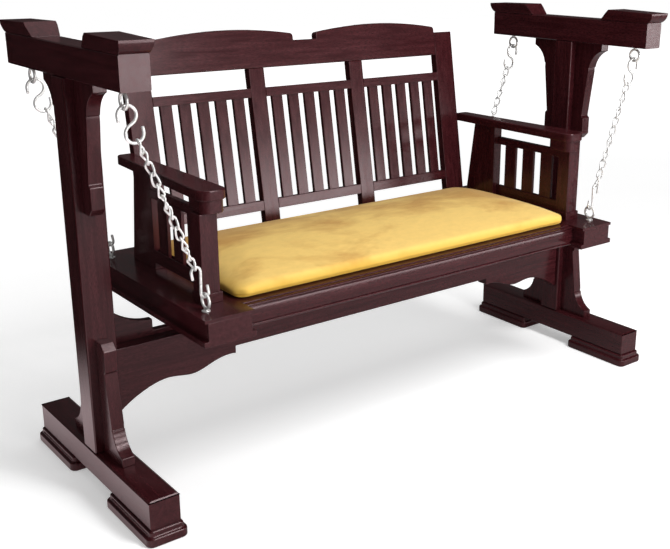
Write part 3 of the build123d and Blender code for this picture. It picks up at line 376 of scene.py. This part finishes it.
def eased_copy(source, width, worn=0):
    """A copy of a frame node with clean faces and rounded edges."""
    piece = bpy.data.objects.new(source + "_finished", frame["nodes"][source].data.copy())
    bpy.context.scene.collection.objects.link(piece)
    hold(piece)
    if piece.data.has_custom_normals:
        bpy.ops.mesh.customdata_custom_splitnormals_clear()
    bpy.ops.object.mode_set(mode="EDIT")
    bpy.ops.mesh.select_all(action="SELECT")
    bpy.ops.mesh.remove_doubles(threshold=MERGE_WITHIN)
    bpy.ops.mesh.dissolve_limited(angle_limit=FLAT_WITHIN)
    if worn:
        wear_end_edges(source, worn)
    bpy.ops.object.mode_set(mode="OBJECT")
    bpy.ops.object.shade_smooth()
    rounding = piece.modifiers.new("rounding", "BEVEL")
    rounding.width = width
    rounding.segments = ROUND_STEPS
    rounding.limit_method = "ANGLE"
    rounding.angle_limit = ROUND_FROM
    rounding.harden_normals = True
    bpy.ops.object.modifier_apply(modifier=rounding.name)
    return piece


GRAIN_AXIS = {
    "X": ("stretcher_front_board", "stretcher_rear_board", "front_rail", "rear_rail", "seat_deck",
          "lower_slat_rail", "upper_slat_rail", "crest_rail"),
    "Y": ("foot_pads", "foot_beam", "head_beam", "cap_blocks", "end_rail", "end_plate", "deck_bearers",
          "arm", "side_top_rail", "side_bottom_rail", "post_plinths", "arm_plugs"),
    "Z": ("post", "lower_brackets", "upper_brackets", "back_post", "back_stile", "back_slats",
          "front_arm_post", "rear_arm_post", "side_slats"),
}
EDGE_WIDTH, THIN_EDGE = 2.4 * MM, 1.2 * MM
THIN_PARTS = ("back_slats", "side_slats", "front_rail", "rear_rail", "post_plinths", "arm_plugs",
              "end_plate", "cap_blocks")
EDGE_WIDTHS = {"foot_pads": 4.5 * MM, "arm": 6 * MM, **dict.fromkeys(THIN_PARTS, THIN_EDGE)}
WORN_ENDS = {"foot_beam": 5 * MM}
GRAIN_SHIFT = (0.37, 0.61, 0.23)

boards = []
for axis, parts in GRAIN_AXIS.items():
    for part in parts:
        for source in (part, part + "_left", part + "_right"):
            if source in body_of:
                board = eased_copy(source, EDGE_WIDTHS.get(part, EDGE_WIDTH), WORN_ENDS.get(part, 0))
                shift = tuple(step * len(boards) for step in GRAIN_SHIFT)
                dress(board, lacquer(source + "_lacquer", axis, shift), "lacquered_wood",
                      body_of[source], source)
                boards.append(board)
print(len(boards), "boards,", sum(len(board.data.polygons) for board in boards), "faces")

# %% [markdown]
# ## Bright steel
# The chain, hooks and eyes are zinc-plated wire: bright, slightly clouded metal.
# Cloudy noise varies its colour and its roughness a little.

# %% Bright steel
def steel():
    """Bright plated wire, a little clouded."""
    made, tree, surface = new_finish("plated_steel")
    place = node(tree, "TexCoord")
    cloud = node(tree, "TexNoise", {"Vector": place.outputs["Object"]}, Scale=160.0, Detail=4.0,
                 Roughness=0.6)
    tint = ramp(tree, cloud.outputs["Fac"], [(0.3, (0.74, 0.73, 0.72)), (0.7, (0.96, 0.95, 0.94))])
    rough = spread(tree, cloud.outputs["Fac"], (0.3, 0.7), (0.26, 0.44))
    tree.links.new(tint, surface.inputs["Base Color"])
    tree.links.new(rough, surface.inputs["Roughness"])
    surface.inputs["Metallic"].default_value = 0.6
    return made


STEEL = steel()
print("steel ready")

# %% [markdown]
# ## The twist-link chain
# A link is bent from round wire, and its lower crown is turned so that the next link
# hangs square to it. A torus is a good start: its lower half is pulled down to make the
# legs, the legs are divided, and each ring of the wire is then turned a little more
# than the one above.

# %% One link
SLING_TOP = Vector((815.556, 0, 968.338)) * MM
SLING_FOOT = Vector((650.531, 0, 526.896)) * MM
CHAIN_Y = 255 * MM
SLING = SLING_TOP - SLING_FOOT
LEAN = SLING.angle(Vector((0, 0, 1)))
LINKS = 12
GAP = 0.3 * MM
LINK_WIRE, LINK_WIDTH = 5 * MM, 19.5 * MM
LINK_TURNS = 6
TWIST_AIM = 45
MEND_WITHIN = 0.01 * MM
UPPER_HOOK = {"wire": 7 * MM, "length": 82 * MM, "top": 20.5 * MM, "bottom": 20 * MM, "tip": 10 * MM}
LOWER_HOOK = {"wire": 6.5 * MM, "length": 77 * MM, "top": 11.3 * MM, "bottom": 9.6 * MM, "tip": 16 * MM}
first_seat = UPPER_HOOK["length"] - (UPPER_HOOK["wire"] + LINK_WIRE) / 2 - GAP
last_seat = SLING.length - LOWER_HOOK["length"] + (LOWER_HOOK["wire"] + LINK_WIRE) / 2 + GAP
link_lap = LINK_WIRE + GAP
link_length = (last_seat - first_seat + (LINKS - 1) * link_lap) / LINKS
half_turns = floor(LINKS * (90 + TWIST_AIM) / 180) + 0.5
link_twist = radians(180 * half_turns / LINKS - 90)


def twist_link():
    """One link in the X-Z plane with its top at the origin and its foot turned."""
    bow = (LINK_WIDTH - LINK_WIRE) / 2
    bpy.ops.mesh.primitive_torus_add(major_segments=24, minor_segments=10, major_radius=bow,
                                     minor_radius=LINK_WIRE / 2, rotation=(pi / 2, 0, 0))
    bpy.ops.object.transform_apply(location=True, rotation=True)
    link = bpy.context.object
    legs = link_length - 2 * bow
    bpy.ops.object.mode_set(mode="EDIT")
    select_faces(lambda middle, normal: middle.z < 0)
    bpy.ops.mesh.extrude_region_move(TRANSFORM_OT_translate={"value": (0, 0, -legs)})
    shape = bmesh.from_edit_mesh(link.data)
    for edge in shape.edges:
        edge.select_set(edge.calc_length() > 0.9 * legs)
    bmesh.update_edit_mesh(link.data)
    bpy.ops.mesh.subdivide(number_cuts=LINK_TURNS - 1)
    for i in range(LINK_TURNS):
        ring_level = -legs * (i + 0.5) / LINK_TURNS
        select_points(lambda place: place.z < ring_level)
        bpy.ops.transform.rotate(value=-link_twist / LINK_TURNS, orient_axis="Z", center_override=(0, 0, 0))
    bpy.ops.mesh.select_all(action="SELECT")
    bpy.ops.transform.translate(value=(0, 0, -bow))
    bpy.ops.mesh.remove_doubles(threshold=MEND_WITHIN)
    bpy.ops.mesh.normals_make_consistent(inside=False)
    bpy.ops.object.mode_set(mode="OBJECT")
    bpy.ops.object.shade_smooth()
    return link


link_pattern = twist_link()
lowest = min(point.co.z for point in link_pattern.data.vertices)
foot = [point.co for point in link_pattern.data.vertices if point.co.z < lowest + LINK_WIDTH / 3]
widest = max(foot, key=lambda place: place.xy.length)
foot_turn = degrees(widest.xy.angle_signed(Vector((1, 0))))
print("link", round(-lowest / MM, 2), "mm long for", round(link_length / MM, 2))
print("twist", round(degrees(link_twist), 1), "degrees, foot lies at", round(foot_turn, 1))

# %% [markdown]
# ## The four chains
# Each link hangs inside the one above, a quarter turn round from it. The pattern is
# copied down the line of the sling, leaned inward to the seat and joined to one chain.
# The chains on the left are mirror images, and a mirrored mesh needs its faces turned
# round again.

# %% The four chains
MIRROR = Matrix.Scale(-1, 4, (1, 0, 0))


def sling_place(y):
    """Leans a hanging piece inward and carries it to its eye on the right."""
    return Matrix.Translation((SLING_TOP.x, y, SLING_TOP.z)) @ Matrix.Rotation(LEAN, 4, "Y")


def copy_of(pattern, name, *moves):
    """A copy with its own mesh, carried by the moves from last to first."""
    piece = bpy.data.objects.new(name, pattern.data.copy())
    bpy.context.scene.collection.objects.link(piece)
    for move in reversed(moves):
        piece.data.transform(move)
        if move == MIRROR:
            piece.data.flip_normals()
    return piece


def join(pieces, name):
    """Join pieces to one, under the first one's place and the new name."""
    hold(pieces[0])
    for piece in pieces:
        piece.select_set(True)
    bpy.ops.object.join()
    whole = bpy.context.object
    whole.name = whole.data.name = name
    return whole


def drop(pattern):
    """Remove a pattern once its copies are made."""
    bpy.data.objects.remove(pattern)


SIDES = {"right": (), "left": (MIRROR,)}
PLACES = {"front": -CHAIN_Y, "rear": CHAIN_Y}
for side, mirrored in SIDES.items():
    for place, y in PLACES.items():
        links = []
        for i in range(LINKS):
            down = Matrix.Translation((0, 0, -first_seat - (link_length - link_lap) * i))
            turn = Matrix.Rotation(pi / 2 + (pi / 2 + link_twist) * i, 4, "Z")
            links.append(copy_of(link_pattern, "link", *mirrored, sling_place(y), down, turn))
        chain = join(links, f"links_{place}_{side}")
        dress(chain, STEEL, "steel", f"{place}_chains", f"chain_{place}_{side}")
drop(link_pattern)
print("four chains of", LINKS, "links")

# %% [markdown]
# ## The S-hooks
# A blacksmith bends a hook from a straight rod, and the Spin tool does the same: a disc
# of the rod's size is extruded for the straight tip, spun round the upper bow, extruded
# for the shank, and spun back round the lower bow to the other tip.

# %% The S-hooks
ROD_SIDES, ROD_STEP = 14, 11
TIP_ROUNDING = 0.9 * MM


def round_rod(start, heading, wire):
    """A filled circle at the start of a rod that runs along a heading in the X-Z plane."""
    bpy.ops.object.select_all(action="DESELECT")
    bpy.ops.mesh.primitive_circle_add(vertices=ROD_SIDES, radius=wire / 2, fill_type="NGON")
    rod = bpy.context.object
    rod.data.transform(Matrix.Translation(start) @ heading.to_track_quat("Z", "Y").to_matrix().to_4x4())
    bpy.ops.object.mode_set(mode="EDIT")
    bpy.ops.mesh.select_all(action="SELECT")
    return rod


def spin_rod(centre, angle):
    """Bend the selected end round a centre; a positive angle goes anticlockwise from in front."""
    steps = max(3, ceil(abs(degrees(angle)) / ROD_STEP))
    bpy.ops.mesh.spin(steps=steps, angle=angle, center=centre, axis=(0, 1, 0))


def push_rod(run):
    """Extrude the selected end straight on."""
    bpy.ops.mesh.extrude_region_move(TRANSFORM_OT_translate={"value": run})


def close_rod(rod):
    """Merge the joints of a bent rod, turn its faces outward and wear its ends round."""
    bpy.ops.mesh.select_all(action="SELECT")
    bpy.ops.mesh.remove_doubles(threshold=MEND_WITHIN)
    bpy.ops.mesh.normals_make_consistent(inside=False)
    bpy.ops.object.mode_set(mode="OBJECT")
    ends = rod.modifiers.new("worn_ends", "BEVEL")
    ends.width = TIP_ROUNDING
    ends.segments = 2
    ends.angle_limit = radians(60)
    hold(rod)
    bpy.ops.object.modifier_apply(modifier=ends.name)
    bpy.ops.object.shade_smooth_by_angle(angle=radians(50))
    return rod


def s_hook(size):
    """An S-hook in the X-Z plane that hangs from the origin, its upper bow open to +X."""
    top = Vector((0, 0, -size["top"]))
    bottom = Vector((0, 0, size["bottom"] - size["length"]))
    cross = acos((size["top"] + size["bottom"]) / (top.z - bottom.z))
    opening = LEAN / 2
    start = top + size["top"] * Vector((cos(opening), 0, sin(opening)))
    heading = Vector((-sin(opening), 0, cos(opening)))
    rod = round_rod(start - heading * size["tip"], heading, size["wire"])
    push_rod(heading * size["tip"])
    leave = 3 * pi / 2 - cross
    bend = leave - opening
    spin_rod(top, bend)
    leaving = top + size["top"] * Vector((cos(leave), 0, sin(leave)))
    arriving = bottom + size["bottom"] * Vector((cos(pi / 2 - cross), 0, sin(pi / 2 - cross)))
    push_rod(arriving - leaving)
    spin_rod(bottom, -bend)
    last = opening - pi
    push_rod(Vector((sin(last), 0, -cos(last))) * size["tip"])
    return close_rod(rod)


upper_pattern, lower_pattern = s_hook(UPPER_HOOK), s_hook(LOWER_HOOK)
lower_drop = Matrix.Translation((0, 0, LOWER_HOOK["length"] - SLING.length))
for side, mirrored in SIDES.items():
    for place, y in PLACES.items():
        upper = copy_of(upper_pattern, f"top_hook_{place}_{side}", *mirrored, sling_place(y))
        dress(upper, STEEL, "steel", f"{place}_chains", f"upper_hook_{place}_{side}")
        lower = copy_of(lower_pattern, f"seat_hook_{place}_{side}", *mirrored, sling_place(y), lower_drop)
        dress(lower, STEEL, "steel", f"{place}_chains", f"lower_hook_{place}_{side}")
for pattern, size in ((upper_pattern, UPPER_HOOK), (lower_pattern, LOWER_HOOK)):
    over_ends = max(pattern.dimensions) / MM
    print("hook", round(over_ends, 1), "mm over its ends, bows", round(size["length"] / MM, 1))
    drop(pattern)

# %% [markdown]
# ## The screw eyes
# Eight eyes carry the hooks, four under the head beams and four on the seat's end
# plates. A ring is a torus, its neck is a short rod that swells where it meets the
# ring, and a thin washer sits under it on the wood.

# %% The screw eyes
EYE_RADIUS, EYE_WIRE, EYE_NECK = 17 * MM, 7 * MM, 4 * MM
NECK_STEM, NECK_FLARE, NECK_SPREAD = 0.4 * EYE_NECK, 0.9 * EYE_NECK, (1.15, 1.5, 1)
WASHER_RADIUS, WASHER_THICKNESS, WASHER_EDGE = 10 * MM, 2.4 * MM, 1.2 * MM
SHANK_RADIUS, SHANK_DEPTH = 4 * MM, 34 * MM
HEAD_UNDERSIDE, HEAD_EYE_X, SEAT_EYE_X = 1003 * MM, 813 * MM, 653 * MM


def round_bar(sides, radius, height, middle):
    """An upright cylinder whose top face is selected in edit mode."""
    bpy.ops.mesh.primitive_cylinder_add(vertices=sides, radius=radius, depth=height, location=(0, 0, middle))
    bpy.ops.object.transform_apply(location=True)
    bar = bpy.context.object
    bpy.ops.object.mode_set(mode="EDIT")
    select_faces(lambda middle, normal: normal.z > 0.9)
    return bar


def screw_eye():
    """An eye that stands on z = 0 with its ring across the swing."""
    middle = EYE_NECK + EYE_WIRE / 2 + EYE_RADIUS
    bpy.ops.object.select_all(action="DESELECT")
    bpy.ops.mesh.primitive_torus_add(major_segments=36, minor_segments=14, major_radius=EYE_RADIUS,
                                     minor_radius=EYE_WIRE / 2, rotation=(0, pi / 2, 0),
                                     location=(0, 0, middle))
    bpy.ops.object.transform_apply(location=True, rotation=True)
    ring = bpy.context.object
    neck = round_bar(18, SHANK_RADIUS, SHANK_DEPTH, -SHANK_DEPTH / 2)
    push_rod((0, 0, NECK_STEM))
    push_rod((0, 0, NECK_FLARE))
    bpy.ops.transform.resize(value=NECK_SPREAD, center_override=(0, 0, NECK_STEM + NECK_FLARE))
    bpy.ops.object.mode_set(mode="OBJECT")
    washer = round_bar(28, WASHER_RADIUS, WASHER_THICKNESS, WASHER_THICKNESS / 2)
    bpy.ops.mesh.inset(thickness=WASHER_EDGE)
    bpy.ops.object.mode_set(mode="OBJECT")
    for piece in (neck, washer):
        hold(piece)
        edge = piece.modifiers.new("edge", "BEVEL")
        edge.width, edge.segments, edge.angle_limit = 0.5 * MM, 2, radians(50)
        bpy.ops.object.modifier_apply(modifier=edge.name)
    eye = join([ring, neck, washer], "eye")
    bpy.ops.object.shade_smooth_by_angle(angle=radians(40))
    return eye


def four_eyes(name, body, node_name, x, z, turn):
    """Four copies of the eye at the corners of a rectangle, joined to one piece."""
    eyes = [copy_of(eye_pattern, "eye", *mirrored, Matrix.Translation((x, y, z)), turn)
            for mirrored in SIDES.values() for y in PLACES.values()]
    dress(join(eyes, name), STEEL, "steel", body, node_name)


eye_pattern = screw_eye()
plate_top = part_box("end_plate_right")[1].z
upside_down, upright_way = Matrix.Rotation(pi, 4, "X"), Matrix.Identity(4)
four_eyes("hanging_eyes", "trestles", "upper_eye_bolts", HEAD_EYE_X, HEAD_UNDERSIDE, upside_down)
four_eyes("seat_eyes", "bench", "lower_eye_bolts", SEAT_EYE_X, plate_top, upright_way)
drop(eye_pattern)
print("eight eyes; the seat's stand at", round(plate_top, 4))

# %% [markdown]
# ## Velvet
# Velvet is a dense pile. Where it leans away it darkens, so the cloth looks clouded,
# and it glows at grazing angles, which is the Principled shader's sheen. Broad noise
# clouds the colour, a finer one streaks it where a hand has brushed, and a very fine
# one is the pile itself. Light and shade are also painted into the colour: the cloth
# is painted brighter towards the front edge of the seat and darker towards the back,
# as if lit from the front, and painted a deeper, shaded orange low down by the deck.

# %% Velvet
PILE_DEEP = (0.50, 0.265, 0.067, 1)
PILE_BRIGHT = (0.73, 0.49, 0.145, 1)
# Painted shade: the deeper orange that the cloth is painted with low down, towards the deck.
PILE_LOW_SHADE = (0.76, 0.44, 0.04, 1)
# Painted shade over the lowest band of the cloth, from about 38 mm above the deck down to it.
LOW_SHADE_SPAN, LOW_SHADE_LEVELS = (0.530, 0.496), (0.0, 0.9)
# Painted light towards the front edge of the seat, and painted shade towards the back.
FRONT_LIGHT_SPAN, FRONT_LIGHT_LEVELS = (-0.22, 0.12), (0.12, -0.10)


def pile_group():
    """Brushed velvet: its colour, with painted light towards the front and painted shade low down, and the
    height of its pile.
    """
    group, takes, gives = new_group(
        "brushed_pile",
        {"Vector": ("vector", None), "Low": ("value", 0.0), "Front": ("value", 0.0),
         "Deep": ("colour", PILE_DEEP), "Bright": ("colour", PILE_BRIGHT), "Low shade": ("colour", PILE_LOW_SHADE)},
        {"Color": "colour", "Height": "value"})
    brushed = node(group, "Mapping", {"Vector": takes["Vector"]}, Scale=(1.0, 1.6, 1.6))
    cloud = node(group, "TexNoise", {"Vector": brushed.outputs["Vector"]}, Scale=3.8, Detail=4.5,
                 Roughness=0.6, Distortion=0.2)
    streak = node(group, "TexNoise", {"Vector": brushed.outputs["Vector"]}, Scale=26.0, Detail=3.0,
                  Roughness=0.7)
    pile = node(group, "TexNoise", {"Vector": takes["Vector"]}, Scale=900.0, Detail=2.0)
    # The random cloud, plus painted light: it is raised towards the front of the seat and lowered towards
    # the back.
    cloud_and_front_light = node(group, "Math", {0: cloud.outputs["Fac"], 1: takes["Front"]}, {"operation": "ADD"})
    clouded = ramp(group, cloud_and_front_light.outputs["Value"], [(0.40, grey(0.0)), (0.59, grey(1.0))])
    streaked = spread(group, streak.outputs["Fac"], (0.3, 0.7), (0.94, 1.04))
    colour = node(group, "Mix", {"Factor": clouded, "A": takes["Deep"], "B": takes["Bright"]},
                  {"data_type": "RGBA"})
    toned = node(group, "VectorMath", {"Vector": colour.outputs["Result"], "Scale": streaked},
                 {"operation": "SCALE"})
    # Painted shade: low down, the colour is mixed towards a deeper orange.
    shaded_low = node(group, "Mix", {"Factor": takes["Low"], "A": toned.outputs["Vector"], "B": takes["Low shade"]},
                 {"data_type": "RGBA"})
    group.links.new(shaded_low.outputs["Result"], gives["Color"])
    group.links.new(pile.outputs["Fac"], gives["Height"])
    return group


def velvet():
    """Golden velvet, which knows how low and how far forward a point of it lies, to paint shade low down and
    light towards the front.
    """
    made, tree, surface = new_finish("golden_velvet")
    place = node(tree, "TexCoord")
    cloth = node(tree, "Group", {}, {"node_tree": pile_group()})
    tree.links.new(place.outputs["Object"], cloth.inputs["Vector"])
    spot = node(tree, "SeparateXYZ", {"Vector": place.outputs["Object"]}).outputs
    # How low a point lies sets how much painted shade it gets.
    tree.links.new(spread(tree, spot["Z"], LOW_SHADE_SPAN, LOW_SHADE_LEVELS), cloth.inputs["Low"])
    # How far forward a point lies sets its painted light, brighter at the front and darker at the back.
    tree.links.new(spread(tree, spot["Y"], FRONT_LIGHT_SPAN, FRONT_LIGHT_LEVELS), cloth.inputs["Front"])
    bump = node(tree, "Bump", {"Height": cloth.outputs["Height"]}, Strength=0.25, Distance=0.0006)
    tree.links.new(cloth.outputs["Color"], surface.inputs["Base Color"])
    tree.links.new(bump.outputs["Normal"], surface.inputs["Normal"])
    surface.inputs["Roughness"].default_value = 0.9
    surface.inputs["Sheen Weight"].default_value = 0.35
    surface.inputs["Sheen Roughness"].default_value = 0.4
    surface.inputs["Sheen Tint"].default_value = (1.0, 0.86, 0.5, 1)
    surface.inputs["Specular IOR Level"].default_value = 0.15
    return made


VELVET = velvet()
print("velvet ready")

# %% [markdown]
# ## The cushion
# A stuffed pad is thick in the middle and thin at its seam. It starts as a flat slab,
# a little shorter and narrower than the finished pad, that is remeshed into an even
# grid. The grid is then raised into a crown that falls away at the two ends.

# %% The slab and its crown
pad_low, pad_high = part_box("cushion")
PAD_INSET = Vector((5, 3, 0)) * MM
PAD_CORNER = 30 * MM
PAD_SLAB = 40 * MM
PAD_EDGE, PAD_CROWN, CROWN_POWER = 36 * MM, 60 * MM, 2.2
END_FALL, END_LOSS, END_POWER = 0.46, 0.62, 2.6
VOXEL = 6 * MM


def cushion_slab():
    """A flat slab in the cushion's place, with rounded upright corners and an even grid."""
    low, high = pad_low + PAD_INSET, pad_high - PAD_INSET
    high.z = low.z + PAD_SLAB
    bpy.ops.object.select_all(action="DESELECT")
    bpy.ops.mesh.primitive_cube_add(size=1, location=(low + high) / 2, scale=high - low)
    bpy.ops.object.transform_apply(location=True, scale=True)
    pad = bpy.context.object
    bpy.ops.object.mode_set(mode="EDIT")
    shape = bmesh.from_edit_mesh(pad.data)
    for edge in shape.edges:
        edge.select_set(abs(edge.verts[0].co.z - edge.verts[1].co.z) > 1 * MM)
    bmesh.update_edit_mesh(pad.data)
    bpy.ops.mesh.bevel(offset=PAD_CORNER, segments=6)
    bpy.ops.object.mode_set(mode="OBJECT")
    grid = pad.modifiers.new("grid", "REMESH")
    grid.mode, grid.voxel_size = "VOXEL", VOXEL
    bpy.ops.object.modifier_apply(modifier=grid.name)
    return pad


def thickness(x, y):
    """How thick the pad is above a place on the deck, from its seam to its crown."""
    end = np.clip((np.abs(x) / pad_high.x - 1 + END_FALL) / END_FALL, 0, 1)
    middle, half = (pad_low.y + pad_high.y) / 2, (pad_high.y - pad_low.y) / 2
    across = np.clip(np.abs(y - middle) / half, 0, 1)
    crown = PAD_CROWN - (PAD_CROWN - PAD_EDGE) * across ** CROWN_POWER
    return crown * (1 - END_LOSS * end ** END_POWER)


def points_of(piece):
    """The places of a piece's points, a row for each."""
    return np.array([point.co for point in piece.data.vertices])


def move_points(piece, places):
    """Put a piece's points at new places."""
    piece.data.vertices.foreach_set("co", places.astype(np.float32).ravel())
    piece.data.update()


cushion = cushion_slab()
raised = points_of(cushion)
share = (raised[:, 2] - pad_low.z) / PAD_SLAB
raised[:, 2] = pad_low.z + share * thickness(raised[:, 0], raised[:, 1])
move_points(cushion, raised)
crown_height = (raised[:, 2].max() - pad_low.z) / MM
print("slab of", len(cushion.data.polygons), "faces, raised to", round(crown_height, 1), "mm")

# %% [markdown]
# ## Stuffing the cushion
# A short cloth simulation with air pressure blows the cover out, and its corners pull
# in. How far a point may move is capped. The pad is then stretched to its full length
# and depth, a Shrinkwrap keeps it inside the space that the frame's own cushion holds,
# smoothing rounds what that has pressed flat, and a seam is drawn in round the edge.

# %% Stuffing
PAD_PRESSURE, STUFFING_FRAMES = 4, 20
PAD_CAP = 9 * MM
NO_LENGTH = 1e-9
SOFTENING = 14
SEAM_HEIGHT, SEAM_WIDTH, SEAM_DEPTH = 8 * MM, 4 * MM, 2.2 * MM


def stuff(pad):
    """Blow a pad up with cloth pressure, each point by no more than the cap."""
    before = points_of(pad)
    cover = pad.modifiers.new("cover", "CLOTH")
    cover.settings.use_pressure = True
    cover.settings.uniform_pressure_force = PAD_PRESSURE
    cover.settings.effector_weights.gravity = 0
    for moment in range(1, STUFFING_FRAMES + 1):
        bpy.context.scene.frame_set(moment)
    hold(pad)
    bpy.ops.object.modifier_apply(modifier=cover.name)
    moved = points_of(pad) - before
    length = np.linalg.norm(moved, axis=1, keepdims=True)
    print("cover swelled by up to", round(float(length.max()) / MM, 1), "mm before the cap")
    move_points(pad, before + moved * np.minimum(1, PAD_CAP / np.maximum(length, NO_LENGTH)))


def settle(pad):
    """Stretch a stuffed pad back to its length and depth, and keep it in its frame solid's space."""
    places = points_of(pad)
    low, high = np.array(pad_low), np.array(pad_high)
    near, far = places.min(axis=0), places.max(axis=0)
    places[:, :2] = low[:2] + (places[:, :2] - near[:2]) * (high[:2] - low[:2]) / (far[:2] - near[:2])
    move_points(pad, np.clip(places, low, high))
    inside = pad.modifiers.new("inside", "SHRINKWRAP")
    inside.target = frame["nodes"]["cushion"]
    inside.wrap_method = "NEAREST_SURFACEPOINT"
    inside.wrap_mode = "INSIDE"
    softer = pad.modifiers.new("softer", "SMOOTH")
    softer.factor, softer.iterations = 0.5, SOFTENING
    finer = pad.modifiers.new("finer", "SUBSURF")
    finer.levels = 1
    hold(pad)
    for step in ("inside", "softer", "finer"):
        bpy.ops.object.modifier_apply(modifier=step)


def draw_seam(pad):
    """Pull the cover in along a line just above the deck."""
    places = points_of(pad)
    outward = np.array([point.normal for point in pad.data.vertices])
    outward[:, 2] = 0
    depth = np.clip(1 - np.abs(places[:, 2] - pad_low.z - SEAM_HEIGHT) / SEAM_WIDTH, 0, 1)
    move_points(pad, places - outward * (SEAM_DEPTH * depth)[:, None])


stuff(cushion)
settle(cushion)
draw_seam(cushion)
hold(cushion)
bpy.ops.object.shade_smooth()
cushion.name = "seat_cushion"
dress(cushion, VELVET, "velvet", "bench", "cushion")
bpy.context.scene.frame_set(1)
swollen = points_of(cushion)
print("cushion from", np.round(swollen.min(axis=0), 4), "to", np.round(swollen.max(axis=0), 4))
